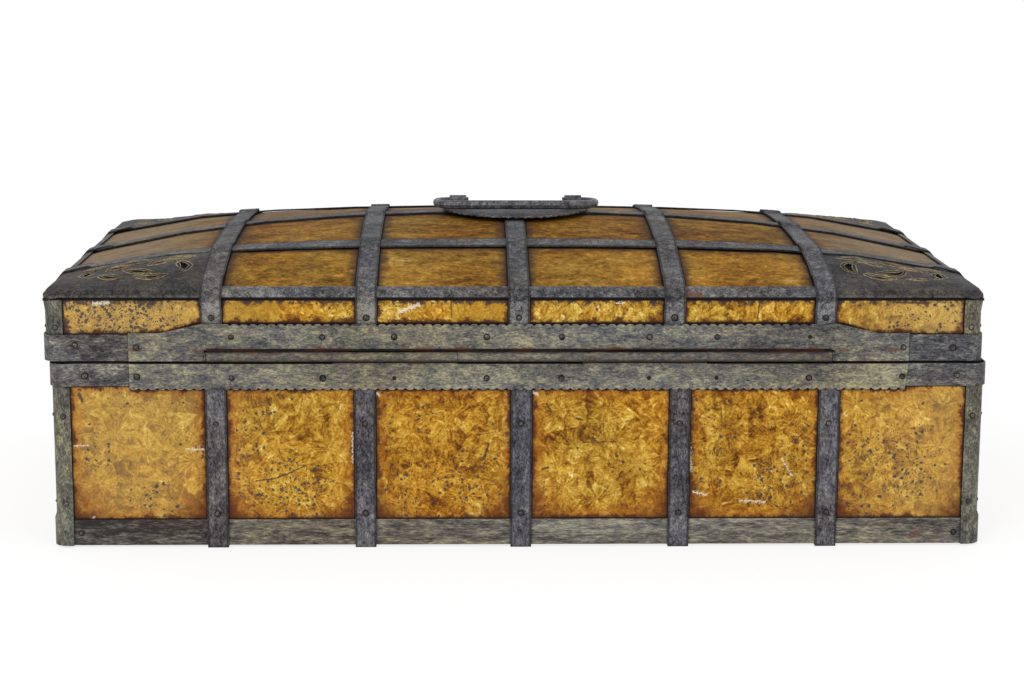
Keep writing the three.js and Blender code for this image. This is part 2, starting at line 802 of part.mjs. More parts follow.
// A round bar along a flat line, with a radius for each of its points
function roundBar(line, radii, sides) {
  const rings = line.map((here, i) => {
    const across = rightOf(line[Math.max(0, i - 1)], line[Math.min(line.length - 1, i + 1)]);
    return circle(radii[i], sides).map((p) => new THREE.Vector3(
      here.x + across.x * p.x, here.y + across.y * p.x, p.y));
  });
  const triangles = [];
  for (let i = 0; i < rings.length - 1; i++) {
    for (let k = 0; k < sides; k++) {
      const a = i * sides + k;
      const b = i * sides + ((k + 1) % sides);
      triangles.push(a, b, b + sides, a, b + sides, a + sides);
    }
  }
  const last = (rings.length - 1) * sides;
  for (let k = 1; k < sides - 1; k++) triangles.push(0, k + 1, k, last, last + k, last + k + 1);
  const geometry = new THREE.BufferGeometry().setFromPoints(rings.flat());
  geometry.setIndex(triangles);
  if (signedVolume(geometry) < 0) geometry.setIndex(triangles.reverse());
  return geometry;
}

// The bar swells from its pivots to its grip
function handleBail() {
  const line = bailLine();
  const radii = line.map((p) => pivotRadius + ((bailRadius - pivotRadius) * -p.y) / bailReach);
  return roundBar(line, radii, 10);
}

// Lock

function lockPlate() {
  const half = lockPlateLength / 2;
  const high = lockCaseTop + (lockPlateHeight - lockCaseHeight) / 4;
  return cut(block(-half, half, innerFace - lockPlateThickness, innerFace, high - lockPlateHeight, high), keyhole());
}

function boltRoom(clearance) {
  const halfY = boltThickness / 2 + clearance;
  const halfZ = boltHeight / 2 + clearance;
  return [lockMiddle - halfY, lockMiddle + halfY, boltHeightAbove - halfZ, boltHeightAbove + halfZ];
}

function boltTip() {
  return keeperAlong - keeperThickness / 2 - keeperClearance;
}

function lockCase() {
  const half = lockCaseLength / 2;
  const low = lockCaseTop - lockCaseHeight;
  const face = lockBack + lockCaseDepth;
  const wall = lockCaseWall;
  const outer = block(-half, half, lockBack, face, low, lockCaseTop);
  const open = face + cutMargin;
  const hollow = block(-half + wall, half - wall, lockBack + wall, open, low + wall, lockCaseTop - wall);
  const slotHalf = keeperThickness / 2 + keeperClearance;
  const slot = block(
    keeperAlong - slotHalf, keeperAlong + slotHalf, lockBack + wall, open,
    lockCaseTop - 2 * wall, lockCaseTop + cutMargin);
  const [y0, y1, z0, z1] = boltRoom(boltClearance);
  const window = block(-half + wall, boltTip() + cutMargin, y0, y1, z0, z1);
  const guidePlaces = [boltTip() - boltLength + guideFromTail, boltTip() - lockGuideThickness - guideFromTip];
  const guides = guidePlaces.map((x) => block(
    x, x + lockGuideThickness, lockBack + wall / 2, face, z0 - wall, z1 + wall));
  return cut(joined(cut(outer, hollow), ...guides), window, slot);
}

function lockBolt() {
  const tip = boltTip();
  const [y0, y1, z0, z1] = boltRoom(0);
  const bar = block(tip - boltLength, tip, y0, y1, z0, z1);
  const half = boltTalonWidth / 2;
  return cut(bar, block(-half, half, y0 - cutMargin, y1 + cutMargin, z0 - cutMargin, z0 + boltTalonDepth));
}

// A loop that hangs from the lid into the lock, for the bolt to pass through
function lockKeeper() {
  const [y0, y1, z0, z1] = boltRoom(boltClearance * 2);
  const w = keeperLoopWall;
  const shelf = railTop - keeperPlateBelowRoof;
  const rim = [
    point(y0 - w, z0 - w), point(y1 + w, z0 - w), point(y1 + w, lidLevel + 2 * layerGap),
    point(innerFace - lockPlateThickness / 2, lidLevel + 2 * layerGap),
    point(innerFace - lockPlateThickness / 2, shelf), point(y0 - w, lidLevel + w),
  ];
  const eye = [point(y0, z0), point(y1, z0), point(y1, z1), point(y0, z1)];
  const half = keeperThickness / 2;
  const hanger = alongX(outline(rim, [eye]), keeperAlong - half, keeperAlong + half);
  const plate = block(
    keeperAlong - keeperPlateLength / 2, keeperAlong + keeperPlateLength / 2,
    innerFace - lockPlateThickness, innerFace, lidLevel + 2 * layerGap, shelf + 2);
  return joined(hanger, plate);
}

// Assembly

const chest = new THREE.Group();
const base = new THREE.Group();
const lid = new THREE.Group();
lid.position.x = lidShift;
chest.add(base, lid);

function add(parent, name, geometry, material) {
  const mesh = new THREE.Mesh(geometry, material);
  mesh.name = name;
  parent.add(mesh);
  return mesh;
}

const corners = [
  ['back_left', -1, -1],
  ['back_right', 1, -1],
  ['front_left', -1, 1],
  ['front_right', 1, 1],
];
const ends = [['left', -1], ['right', 1]];
const middleStrap = (strapCount - 1) / 2;

function addBase() {
  const front = cut(longBoard(1, bottomLevel, partingHeight), keyhole());
  add(base, 'base_back_board', longBoard(-1, bottomLevel, partingHeight), wood);
  add(base, 'base_front_board', front, wood);
  ends.forEach(([name, side]) => add(base, `base_${name}_board`, endBoard(side, bottomLevel, partingHeight), wood));
  add(base, 'base_bottom_board', bottomBoard(), wood);
  const sheet = raised(ring(1, 0, tinThickness), bottomLevel, partingHeight);
  add(base, 'base_tin', cut(sheet, keyhole()), tin);
  add(base, 'base_foot_band', raised(ring(2, onTin, overStrap), footBandLow, footBandTop), iron);
  corners.forEach(([name, sx, sy]) => add(
    base, `base_corner_strap_${name}`, cornerStrap(sx, sy, baseCornerLevels()), iron));
  baseStrapPlaces.forEach((x, i) => {
    const strap = baseStrap(x);
    add(base, `base_strap_${i + 1}`, i === middleStrap ? cut(strap, keyhole()) : strap, iron);
  });
  ends.forEach(([name, side]) => {
    add(base, `base_end_strap_${name}_back`, baseEndStrap(side, -longBandOffset), iron);
    add(base, `base_end_strap_${name}_front`, baseEndStrap(side, longBandOffset), iron);
  });
  add(base, 'base_rim_band', rimBand(baseRimTop - baseRimBandHeight, baseRimTop), iron);
  add(base, 'base_hinge_leaf', baseLeaf(), wornIron);
  add(base, 'hinge_pin', hingePin(), iron);
  add(base, 'lock_plate', lockPlate(), iron);
  add(base, 'lock_case', lockCase(), iron);
  add(base, 'lock_bolt', lockBolt(), wornIron);
}

function addLid() {
  add(lid, 'lid_frame', lidFrame(), wood);
  const joint = halfDepth / 3;
  add(lid, 'roof_stave_back', roofStave(-halfDepth, -joint), wood);
  add(lid, 'roof_stave_middle', cut(roofStave(-joint, joint), ...stapleSlots()), wood);
  add(lid, 'roof_stave_front', roofStave(joint, halfDepth), wood);
  add(lid, 'lid_rim_tin', raised(ring(1, 0, tinThickness), lidLevel, lipLow), tin);
  const sheet = laidOnRoof(outline(loop(0, eaveLip - roofTinSetBack)), roofGap, roofTin);
  add(lid, 'lid_roof_tin', cut(sheet, ...stapleSlots()), roofSheet);
  lidStrapPlaces.forEach((x, i) => add(lid, `lid_strap_${i + 1}`, crossStrap(x), iron));
  add(lid, 'lid_long_band_back', longBand(-longBandOffset), iron);
  add(lid, 'lid_long_band_ridge', cut(longBand(0), ...stapleSlots()), iron);
  add(lid, 'lid_long_band_front', longBand(longBandOffset), iron);
  add(lid, 'lid_eave_band_back', longEaveBand(-1), iron);
  add(lid, 'lid_eave_band_front', longEaveBand(1), iron);
  ends.forEach(([name, side]) => add(lid, `lid_eave_band_${name}`, endEaveBand(side), iron));
  corners.forEach(([name, sx, sy]) => {
    add(lid, `lid_corner_plate_${name}`, cornerPlate(sx, sy), iron);
    add(lid, `lid_corner_strap_${name}`, cornerStrap(sx, sy, lidCornerLevels()), iron);
  });
  add(lid, 'lid_rim_band', rimBand(lidRimBottom, lidRimBottom + lidRimBandHeight), iron);
  add(lid, 'lid_hinge_leaf', lidLeaf(), wornIron).position.x = -lidShift;
  add(lid, 'lock_keeper', lockKeeper(), iron).position.x = -lidShift;
}

function addHandle() {
  add(lid, 'handle_plate', handlePlate(), iron);
  ends.forEach(([name, side]) => add(lid, `handle_staple_${name}`, handleStaple(side), iron));
  add(lid, 'handle_bail', handleBail(), iron).position.set(handleX, 0, bailAxisHeight);
}

addBase();
addLid();
addHandle();

export default chest;
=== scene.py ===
"""Dresses the iron-bound chest for a studio photograph of its hinge side."""
import math
import random

import bmesh
import bpy
from mathutils import Matrix, Vector
from mathutils.bvhtree import BVHTree


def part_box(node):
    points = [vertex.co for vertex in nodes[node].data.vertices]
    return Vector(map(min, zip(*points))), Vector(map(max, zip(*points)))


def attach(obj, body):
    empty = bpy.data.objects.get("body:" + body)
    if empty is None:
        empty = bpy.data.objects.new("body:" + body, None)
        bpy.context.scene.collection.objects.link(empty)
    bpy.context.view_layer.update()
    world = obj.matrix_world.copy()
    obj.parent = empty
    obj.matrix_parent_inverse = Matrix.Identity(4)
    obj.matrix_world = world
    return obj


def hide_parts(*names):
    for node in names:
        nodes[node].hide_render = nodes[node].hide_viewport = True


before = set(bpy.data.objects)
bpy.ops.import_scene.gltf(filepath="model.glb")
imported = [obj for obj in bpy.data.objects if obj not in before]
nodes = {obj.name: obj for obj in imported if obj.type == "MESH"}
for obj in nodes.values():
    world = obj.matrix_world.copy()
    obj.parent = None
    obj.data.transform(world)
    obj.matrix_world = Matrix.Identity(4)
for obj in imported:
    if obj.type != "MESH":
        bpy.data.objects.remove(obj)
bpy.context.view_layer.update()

MM = 0.001

# Brightness of a white wall in this studio, which the base colours are divided by
LIGHT_LEVEL = 1.15

# Names of places, and of the pieces that come in rows
ENDS = ("left", "right")
SIDES = ("back", "front")
CORNERS = [f"{side}_{end}" for side in SIDES for end in ENDS]
BASE_STRAPS = [f"base_strap_{i}" for i in range(1, 6)]
LID_STRAPS = [f"lid_strap_{i}" for i in range(1, 6)]
LONG_BANDS = [f"lid_long_band_{place}" for place in (*SIDES, "ridge")]

# Places taken from the frame, in metres
foot_band_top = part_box("base_foot_band")[1].z
base_band_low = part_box("base_rim_band")[0].z
base_leaf_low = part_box("base_hinge_leaf")[0].z
base_leaf_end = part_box("base_hinge_leaf")[1].x
lid_leaf_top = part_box("lid_hinge_leaf")[1].z
lid_band_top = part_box("lid_rim_band")[1].z
lid_tin_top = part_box("lid_rim_tin")[1].z
roof_low, roof_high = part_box("lid_roof_tin")
board_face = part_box("base_front_board")[1].y
hinge_axis_z = sum(c.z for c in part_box("hinge_pin")) / 2


def paint(red, green, blue):
    """The base colour that shows as these display values, 0 to 255, on a wall in this studio."""
    return tuple(((c / 255 + 0.055) / 1.055) ** 2.4 / LIGHT_LEVEL for c in (red, green, blue))


def stops(positions, tones):
    """Stops of a colour ramp, from display values."""
    return [(position, paint(*tone)) for position, tone in zip(positions, tones)]


def linked(name, data):
    """A new object in the scene."""
    obj = bpy.data.objects.new(name, data)
    bpy.context.scene.collection.objects.link(obj)
    return obj


def formed(name, form, material):
    """A new object in the scene, made from a bmesh, which it frees."""
    data = bpy.data.meshes.new(name)
    form.to_mesh(data)
    form.free()
    data.materials.append(material)
    return linked(name, data)


# Node helpers

class Shader:
    """A material under construction. Most of its methods add nodes and give back a socket."""

    def __init__(self, name):
        self.material = bpy.data.materials.new(name)
        self.material.use_nodes = True
        self.tree = self.material.node_tree
        self.tree.nodes.clear()
        self.surface = self.add("ShaderNodeBsdfPrincipled")
        output = self.add("ShaderNodeOutputMaterial")
        self.tree.links.new(self.surface.outputs["BSDF"], output.inputs["Surface"])
        coordinates = self.add("ShaderNodeTexCoord")
        self.place = coordinates.outputs["Object"]
        self.facing = coordinates.outputs["Normal"]
        self.x, self.y, self.z = self.split(self.place)
        self.wall = self.combined(self.plus(self.x, self.y), self.z)
        self.back = self.combined(self.x, self.z)

    def add(self, kind, **settings):
        node = self.tree.nodes.new(kind)
        for key, value in settings.items():
            setattr(node, key, value)
        return node

    def set(self, socket, value):
        if isinstance(value, bpy.types.NodeSocket):
            self.tree.links.new(value, socket)
        elif socket.type == "RGBA" and len(value) == 3:
            socket.default_value = (*value, 1)
        else:
            socket.default_value = value

    def fill(self, node, inputs):
        """Sets a node's inputs, given by name or by number. None leaves one as it is."""
        for key, value in inputs.items():
            if value is not None:
                self.set(node.inputs[key], value)
        return node

    def made(self, kind, inputs, **settings):
        return self.fill(self.add(kind, **settings), inputs)

    def split(self, vector):
        return self.made("ShaderNodeSeparateXYZ", {0: vector}).outputs

    def combined(self, x, y, z=0.0):
        return self.made("ShaderNodeCombineXYZ", {0: x, 1: y, 2: z}).outputs[0]

    def vector(self, operation, *values):
        """Vector maths. The inputs are vectors, and the last one of a scale is its factor."""
        keys = (0, "Scale") if operation == "SCALE" else range(len(values))
        node = self.made("ShaderNodeVectorMath", dict(zip(keys, values)), operation=operation)
        return node.outputs["Value" if operation in ("LENGTH", "DOT_PRODUCT") else "Vector"]

    def math(self, operation, a, b=0.0, clamp=False):
        return self.made("ShaderNodeMath", {0: a, 1: b}, operation=operation, use_clamp=clamp).outputs[0]

    def scaled(self, vector, factors):
        return self.vector("MULTIPLY", vector, factors)

    def shifted(self, vector, offset):
        return self.vector("ADD", vector, offset)

    def plus(self, a, b, clamp=False):
        return self.math("ADD", a, b, clamp)

    def less(self, a, b, clamp=False):
        return self.math("SUBTRACT", a, b, clamp)

    def size(self, value):
        return self.math("ABSOLUTE", value)

    def apart(self, a, b):
        """How far two values lie from each other."""
        return self.size(self.less(a, b))

    def noise(self, scale, detail=4.0, roughness=0.5, vector=None, distortion=0.0, output="Fac"):
        inputs = {"Vector": vector or self.place, "Scale": scale, "Detail": detail,
                  "Roughness": roughness, "Distortion": distortion}
        return self.made("ShaderNodeTexNoise", inputs).outputs[output]

    def cells(self, scale, vector=None, dimensions="3D"):
        inputs = {"Vector": vector or self.place, "Scale": scale}
        return self.made("ShaderNodeTexVoronoi", inputs, voronoi_dimensions=dimensions).outputs

    def warped(self, amount, scale, vector=None):
        """Coordinates pushed about by a soft noise."""
        source = vector or self.place
        centred = self.shifted(self.noise(scale, 3.0, vector=source, output="Color"), (-0.5, -0.5, -0.5))
        return self.shifted(source, self.scaled(centred, (amount, amount, amount)))

    def wander(self, amount, scale, middle=0.5, **settings):
        """A length that noise moves about zero."""
        return self.share(self.less(self.noise(scale, **settings), middle), amount)

    def fade(self, value, start, end):
        """0 before start and 1 past end, with a soft step between them."""
        inputs = {"Value": value, "From Min": start, "From Max": end}
        return self.made("ShaderNodeMapRange", inputs, interpolation_type="SMOOTHSTEP").outputs["Result"]

    def varied(self, middle, parts):
        """A middle value moved by some textures, each given with its weight."""
        total = middle
        for texture, weight in parts:
            total = self.plus(total, self.share(self.less(texture, 0.5), weight))
        return total

    def folded(self, operation, values):
        total = values[0]
        for value in values[1:]:
            total = self.math(operation, total, value)
        return total

    def share(self, *factors):
        return self.folded("MULTIPLY", factors)

    def largest(self, *values):
        return self.folded("MAXIMUM", values)

    def smallest(self, *values):
        return self.folded("MINIMUM", values)

    def ramp(self, value, colours):
        """A colour for each value, from stops of a position and a colour."""
        node = self.made("ShaderNodeValToRGB", {0: value})
        elements = node.color_ramp.elements
        while len(elements) < len(colours):
            elements.new(0.5)
        for element, (position, colour) in zip(elements, colours):
            element.position = position
            element.color = (*colour, 1)
        return node.outputs["Color"]

    def mix(self, share, a, b, blend="MIX"):
        inputs = {"Factor": share, 6: a, 7: b}
        return self.made("ShaderNodeMix", inputs, data_type="RGBA", blend_type=blend).outputs[2]

    def over(self, colour, other, *shares):
        """A colour with another laid over it."""
        return self.mix(self.share(*shares), colour, other)

    def edges(self, radius):
        """1 on sharp edges and 0 on flat places, from the turn of a rounded normal."""
        rounded = self.made("ShaderNodeBevel", {"Radius": radius}, samples=4).outputs[0]
        flat = self.add("ShaderNodeNewGeometry").outputs["Normal"]
        return self.fade(self.vector("DOT_PRODUCT", rounded, flat), 0.995, 0.93)

    def crevices(self, distance, gain):
        """1 deep in corners and 0 in the open, from ambient occlusion; the materials darken with it as
        painted shade.
        """
        open_air = self.made("ShaderNodeAmbientOcclusion", {"Distance": distance}, samples=6).outputs["AO"]
        return self.math("MULTIPLY", self.less(1.0, open_air, True), gain, clamp=True)

    def bumped(self, *layers):
        """A normal raised by some layers, each a height, a distance and a strength."""
        normal = None
        for height, distance, strength in layers:
            inputs = {"Height": height, "Distance": distance, "Strength": strength, "Normal": normal}
            normal = self.made("ShaderNodeBump", inputs).outputs["Normal"]
        return normal

    def finish(self, colour, roughness, metallic, normal=None, specular=None):
        self.fill(self.surface, {"Base Color": colour, "Roughness": roughness, "Metallic": metallic,
                                 "Specular IOR Level": specular, "Normal": normal})
        return self.material


# Materials

GOLD_STOPS = stops((0.06, 0.28, 0.50, 0.72, 0.96),
                   ((84, 46, 10), (140, 92, 20), (184, 138, 42), (216, 176, 72), (250, 230, 154)))
ROOF_STOPS = stops((0.10, 0.32, 0.50, 0.68, 0.92),
                   ((50, 30, 10), (98, 65, 20), (134, 98, 34), (166, 126, 50), (206, 172, 94)))
# Near black, used as painted shade in corners, gaps and beside strips, and for the dark margins along some
# iron pieces
SHADE_AND_GRIME = paint(26, 22, 22)
JET = paint(14, 12, 12)
BURNT = paint(76, 34, 20)
SCORCHED = paint(156, 82, 20)
SPECK = paint(58, 57, 66)
RUST = paint(96, 48, 28)
BARE_TIN = paint(232, 224, 204)

# Marks on the hinge side, in millimetres along and up: start, end and half width
BASE_SCRATCHES = (
    ((-170.3, 44.0), (-158.3, 45.5), 0.55), ((-158.3, 45.5), (-147.7, 49.6), 0.65),
    ((-147.7, 49.6), (-138.5, 54.0), 0.5), ((-172.8, 24.5), (-168.3, 21.2), 0.5),
    ((-23.7, 57.6), (-19.8, 68.3), 0.8), ((41.0, 69.2), (63.7, 69.8), 0.35),
    ((-282.5, 101.5), (-280.8, 97.0), 1.3), ((36.5, 85.2), (40.5, 84.0), 0.7),
    ((17.0, 95.0), (20.0, 90.5), 0.6), ((15.0, 51.5), (18.5, 52.5), 1.0),
)
BASE_CHIPS = (
    ((-286.3, 67.5), (-277.6, 67.6), 0.4), ((-215.1, 65.2), (-203.9, 65.0), 0.4),
    ((-107.8, 76.3), (-108.0, 56.4), 0.35), ((170.4, 58.0), (177.2, 47.2), 0.4),
    ((110.4, 68.7), (111.4, 49.4), 0.4), ((113.5, 36.0), (121.0, 34.0), 0.65),
    ((-93.8, 102.4), (-91.0, 101.0), 1.0), ((8.4, 102.4), (11.0, 101.0), 1.0),
    ((-276.5, 19.6), (-275.5, 19.4), 0.8), ((144.0, 30.3), (160.0, 29.2), 0.65),
)
LID_SCRATCHES = (
    ((-44.2, 163.0), (-44.0, 151.0), 0.35), ((153.2, 162.0), (152.4, 150.0), 0.5),
    ((262.0, 160.6), (239.0, 161.4), 0.9),
)
LID_CHIPS = (
    ((-76.8, 155.2), (-72.4, 156.6), 1.3), ((-71.0, 157.4), (-65.3, 159.4), 1.4),
    ((-271.8, 160.2), (-262.3, 160.8), 1.1), ((62.0, 160.6), (66.0, 160.8), 0.6),
)
RUST_MARKS = (((107.5, 166.0), (115.0, 166.0), 2.6), ((256.0, 7.6), (261.0, 7.9), 1.6))

# Crowds of specks on the hinge side: centre and reach in millimetres along and up, and amount
BASE_CROWDS = (((250, 58), (32, 30), 0.42), ((-150, 44), (36, 24), 0.2), ((-60, 36), (40, 18), 0.08))
LID_CROWDS = (((-262, 152), (50, 30), 0.95), ((262, 150), (40, 18), 0.3))

# Bays of the lid with plainer lacquer, in millimetres along: middle and half width
PLAIN_BAYS = ((-172.95, 19.05), (-26, 18))

# Sizes of specks: how dense their cells are, and how far a speck fills its cell
SPECK_SIZES = ((230.0, 0.38), (430.0, 0.4), (760.0, 0.38))

# Where the lid's leaf stops being level and where its slope ends, past the middle
LID_LEAF_LEVEL, LID_LEAF_SLOPE = 203 * MM, 232 * MM

# How far stains reach in from the edges of a panel
STAIN_REACH = {"base": 34 * MM, "lid": 4 * MM}

# Where the roof is painted dark as the shade under the corner plates, past its middle along and across
PLATE_SHADE = ((200 * MM, 204 * MM), (100 * MM, 104 * MM))

# Width of the roof's outermost rim, which is painted black as the shadow line under the eave
ROOF_RIM = 2.7 * MM

# Width of the strips along the eave, with the lip they turn over
EAVE_STRIP_WIDTH = 7 * MM

# Half the length of the hinge's barrel, and from its axis to the gaps above and below it, where shadow
# lines are painted
BARREL_HALF_LENGTH, BARREL_GAP = 200 * MM, 3.9 * MM


def on_hinge_side(s):
    """1 on the hinge side and 0 elsewhere."""
    return s.fade(s.y, -0.1, -0.12)


def marks(s, strokes, ragged):
    """Scratches on the hinge side, each between two places, with an edge broken up by noise."""
    rough = s.wander(ragged * MM, 800.0, roughness=0.7)
    lines = []
    for start, end, half_width in strokes:
        way = Vector((*end, 0)) * MM - Vector((*start, 0)) * MM
        offset = s.shifted(s.back, (-start[0] * MM, -start[1] * MM, 0))
        along = s.plus(s.vector("DOT_PRODUCT", offset, way / way.length_squared), 0.0, clamp=True)
        away = s.vector("LENGTH", s.vector("SUBTRACT", offset, s.vector("SCALE", tuple(way), along)))
        lines.append(s.fade(s.plus(away, rough), half_width * MM, half_width * 0.6 * MM))
    return s.share(s.largest(*lines), on_hinge_side(s))


def level_by_leaf(s, under_leaf, elsewhere, level_end, slope_end):
    """The height of a panel's edge: it changes where the hinge leaf ends, and round the other sides."""
    under = s.share(s.fade(s.size(s.x), slope_end, level_end), on_hinge_side(s))
    return s.plus(elsewhere, s.share(under, under_leaf - elsewhere))


def distance_from(s, names, axis):
    """Distance along one axis from the nearest of some pieces, less than 0 inside them."""
    gaps = []
    for low, high in (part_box(name) for name in names):
        middle, half = (low[axis] + high[axis]) / 2, (high[axis] - low[axis]) / 2
        gaps.append(s.less(s.apart((s.x, s.y)[axis], middle), half))
    return s.smallest(*gaps)


def side_distance(s, body):
    """Distance along a wall from the nearest upright strap."""
    corners = [f"{body}_corner_strap_{corner}" for corner in CORNERS]
    straps, end_straps = LID_STRAPS, LONG_BANDS
    if body == "base":
        straps, end_straps = BASE_STRAPS, [f"base_end_strap_left_{side}" for side in SIDES]
    along = distance_from(s, straps + corners, 0)
    across = distance_from(s, end_straps + corners, 1)
    on_end = s.fade(s.size(s.split(s.facing)[0]), 0.4, 0.6)
    return s.plus(s.share(along, s.less(1.0, on_end)), s.share(across, on_end))


def facets(s, place, scale):
    """Small tilted planes, each shaded across in a direction of its own."""
    cells = s.cells(scale, vector=place, dimensions="2D")
    spoke = s.vector("SUBTRACT", place, cells["Position"])
    heading = s.vector("SUBTRACT", cells["Color"], (0.5, 0.5, 0.5))
    tilt = s.share(s.vector("DOT_PRODUCT", spoke, heading), scale)
    return s.plus(tilt, 0.5), cells, spoke


def crystals(s):
    """Crumpled facets with fine feathers that fan out from their centres, as on crystallised tinplate."""
    place = s.warped(0.009, 60.0, s.wall)
    broad, cells, spoke = facets(s, place, 46.0)
    small = facets(s, s.warped(0.006, 120.0, s.wall), 135.0)[0]
    heading = s.split(s.vector("NORMALIZE", spoke))
    own = s.split(cells["Color"])
    length = s.share(s.vector("LENGTH", spoke), 110.0)
    depth = s.plus(length, s.share(own[0], 40.0))
    fan = s.combined(s.share(heading[0], 5.0), s.share(heading[1], 5.0), depth)
    feathers = s.noise(1.0, roughness=0.65, vector=fan, distortion=0.5)
    strokes = s.noise(150.0, 6.0, 0.7, s.warped(0.006, 110.0, s.wall), distortion=1.2)
    grain = s.noise(620.0, roughness=0.75, vector=s.wall)
    clouds = s.noise(22.0, roughness=0.6)
    weights = ((broad, 0.42), (small, 0.5), (feathers, 1.15), (strokes, 0.95), (grain, 1.0), (clouds, 0.5))
    return s.varied(0.49, weights), feathers, strokes


def specks(s, density):
    """Small dark pits where the lacquer has gone, thicker where density is high."""
    spots = []
    for scale, size in SPECK_SIZES:
        cells = s.cells(scale, vector=s.warped(0.0026, 520.0))
        draw = s.split(cells["Color"])
        chosen = s.math("LESS_THAN", draw[0], density)
        reach = s.share(s.plus(draw[1], 0.25), size)
        spots.append(s.share(s.fade(s.less(reach, cells["Distance"]), 0.0, 0.09), chosen))
    return s.largest(*spots)


def creases(s, scale, width, share):
    """Thin wandering lines, kept only where a second noise is high."""
    line = s.size(s.less(s.noise(scale, detail=1.0), 0.5))
    line = s.fade(line, width, 0.0)
    kept = s.fade(s.noise(scale * 1.7, detail=1.0), share, share + 0.03)
    return s.share(line, kept)


def speck_density(s, share, crowds):
    """More specks low down and in a few crowds."""
    clouds = s.fade(s.noise(26.0, detail=2.0), 0.42, 0.72)
    density = s.share(clouds, share, s.varied(0.9, ((s.fade(s.z, 0.09, 0.03), 0.8),)))
    for (x, z), (reach_x, reach_z), amount in crowds:
        offset = s.shifted(s.back, (-x * MM, -z * MM, 0))
        away = s.vector("LENGTH", s.scaled(offset, (1 / (reach_x * MM), 1 / (reach_z * MM), 0)))
        crowd = s.share(s.fade(away, 1.1, 0.5), on_hinge_side(s), amount)
        density = s.plus(density, crowd)
    return density


def panel_edges(s, body):
    """Distances from the edges of a panel: ragged ones for the stains and a clean one for the line of
    painted shade.
    """
    if body == "base":
        ends = base_leaf_end - 0.5 * MM, base_leaf_end + 0.5 * MM
        low, high = foot_band_top, level_by_leaf(s, base_leaf_low, base_band_low, *ends)
    else:
        low = level_by_leaf(s, lid_leaf_top, lid_band_top, LID_LEAF_LEVEL, LID_LEAF_SLOPE)
        high = lid_tin_top
    wander = s.wander(19 * MM, 130.0, detail=8.0, roughness=0.75)
    edges = (side_distance(s, body), s.less(s.z, low), s.less(high, s.z))
    return s.smallest(*edges), [s.plus(edge, wander) for edge in edges]


def lacquer(s, body, tone, plain_bays):
    """Yellow lacquer over the crystals, paler towards the ends of the hinge side, plainer in some bays."""
    colour = s.ramp(tone, GOLD_STOPS)
    hue = s.ramp(s.noise(13.0, detail=3.0), [(0.36, (1.04, 0.9, 0.62)), (0.6, (0.97, 1.0, 1.12))])
    colour = s.mix(0.8, colour, hue, "MULTIPLY")
    paler = s.share(s.fade(s.apart(s.x, 20 * MM), 160 * MM, 260 * MM), on_hinge_side(s))
    colour = s.over(colour, paint(196, 170, 108), paler, 0.3 if body == "base" else 0.45)
    for middle, half in plain_bays:
        bay = s.fade(s.apart(s.x, middle * MM), (half + 0.4) * MM, (half - 0.4) * MM)
        colour = s.over(colour, paint(176, 132, 40), bay, on_hinge_side(s), 0.5)
    return colour


def scorch(s, body, colour, side, up, down):
    """Heat stains that creep in from the edges of a panel and are darkest in its lower corners."""
    nearest = s.smallest(side, up, s.share(down, 1.5))
    clouds = s.fade(s.noise(15.0, detail=2.0), 0.3, 0.65)
    reach = STAIN_REACH[body]
    corner = s.share(s.fade(side, reach, 2 * MM), s.fade(up, reach, 2 * MM))
    warm = s.largest(s.share(s.fade(nearest, reach * 0.35, 1 * MM), 0.7), s.share(corner, 0.85))
    colour = s.over(colour, SCORCHED, warm, s.varied(0.6, ((clouds, 0.5),)))
    along_edge = s.fade(nearest, 3.6 * MM, 0.4 * MM)
    burnt = s.largest(along_edge, s.share(corner, s.fade(nearest, 12 * MM, 1 * MM)))
    return s.over(colour, BURNT, burnt, 0.9), burnt


def lip_shadow(s, colour, down):
    """Painted shadow under the lip of the roof: broken dark patches and a dark line."""
    # Painted shade under the lip, broken up by noise
    dirt = s.share(s.fade(down, 4.6 * MM, 2.4 * MM), s.fade(s.noise(300.0, detail=6.0), 0.44, 0.56))
    colour = s.over(colour, paint(60, 52, 52), dirt, 0.85)
    return s.over(colour, JET, s.fade(s.z, lid_tin_top - 1.3 * MM, lid_tin_top - 0.9 * MM))


def gold_tin(name, body, lift, speck_share, crowds, scratches, chips, plain_bays=()):
    """Crystallised tinplate under yellow lacquer, scorched along the edges of its panels."""
    s = Shader(name)
    tone, feathers, strokes = crystals(s)
    colour = lacquer(s, body, s.plus(tone, lift), plain_bays)
    clean, (side, up, down) = panel_edges(s, body)
    colour, burnt = scorch(s, body, colour, side, up, down)
    if body == "lid":
        colour = lip_shadow(s, colour, down)

    pits = specks(s, speck_density(s, speck_share, crowds))
    colour = s.over(colour, SPECK, pits, 0.88)
    lines = s.largest(s.share(creases(s, 38.0, 0.006, 0.63), 0.6), marks(s, scratches, 2.0))
    colour = s.over(colour, paint(66, 58, 52), lines, 0.85)
    bare = marks(s, chips, 8.0)
    colour = s.over(colour, BARE_TIN, bare, 0.72)
    # Painted shade: a dark line along the panel's edges, beside the straps and bands
    colour = s.over(colour, SHADE_AND_GRIME, s.fade(clean, 1.1 * MM, 0.2 * MM))
    # Painted shade in corners and crevices, from ambient occlusion
    colour = s.over(colour, SHADE_AND_GRIME, s.math("POWER", s.crevices(3 * MM, 1.2), 1.5))

    normal = s.bumped((s.noise(17.0, detail=2.0), 1.4 * MM, 0.45),
                      (s.plus(feathers, strokes), 0.1 * MM, 0.5),
                      (s.share(s.plus(pits, lines), -1.0), 0.3 * MM, 0.6))
    roughness = s.plus(s.varied(0.5, ((strokes, 0.25),)), s.share(s.largest(pits, burnt), 0.25))
    metallic = s.less(0.3, s.share(s.largest(pits, burnt, bare), 0.3))
    return s.finish(colour, roughness, metallic, normal, specular=0.14)


def past_middle(s, axis):
    """Distance along one axis from the middle of the roof, which lies a little to the left."""
    return s.apart((s.x, s.y)[axis], (roof_low[axis] + roof_high[axis]) / 2)


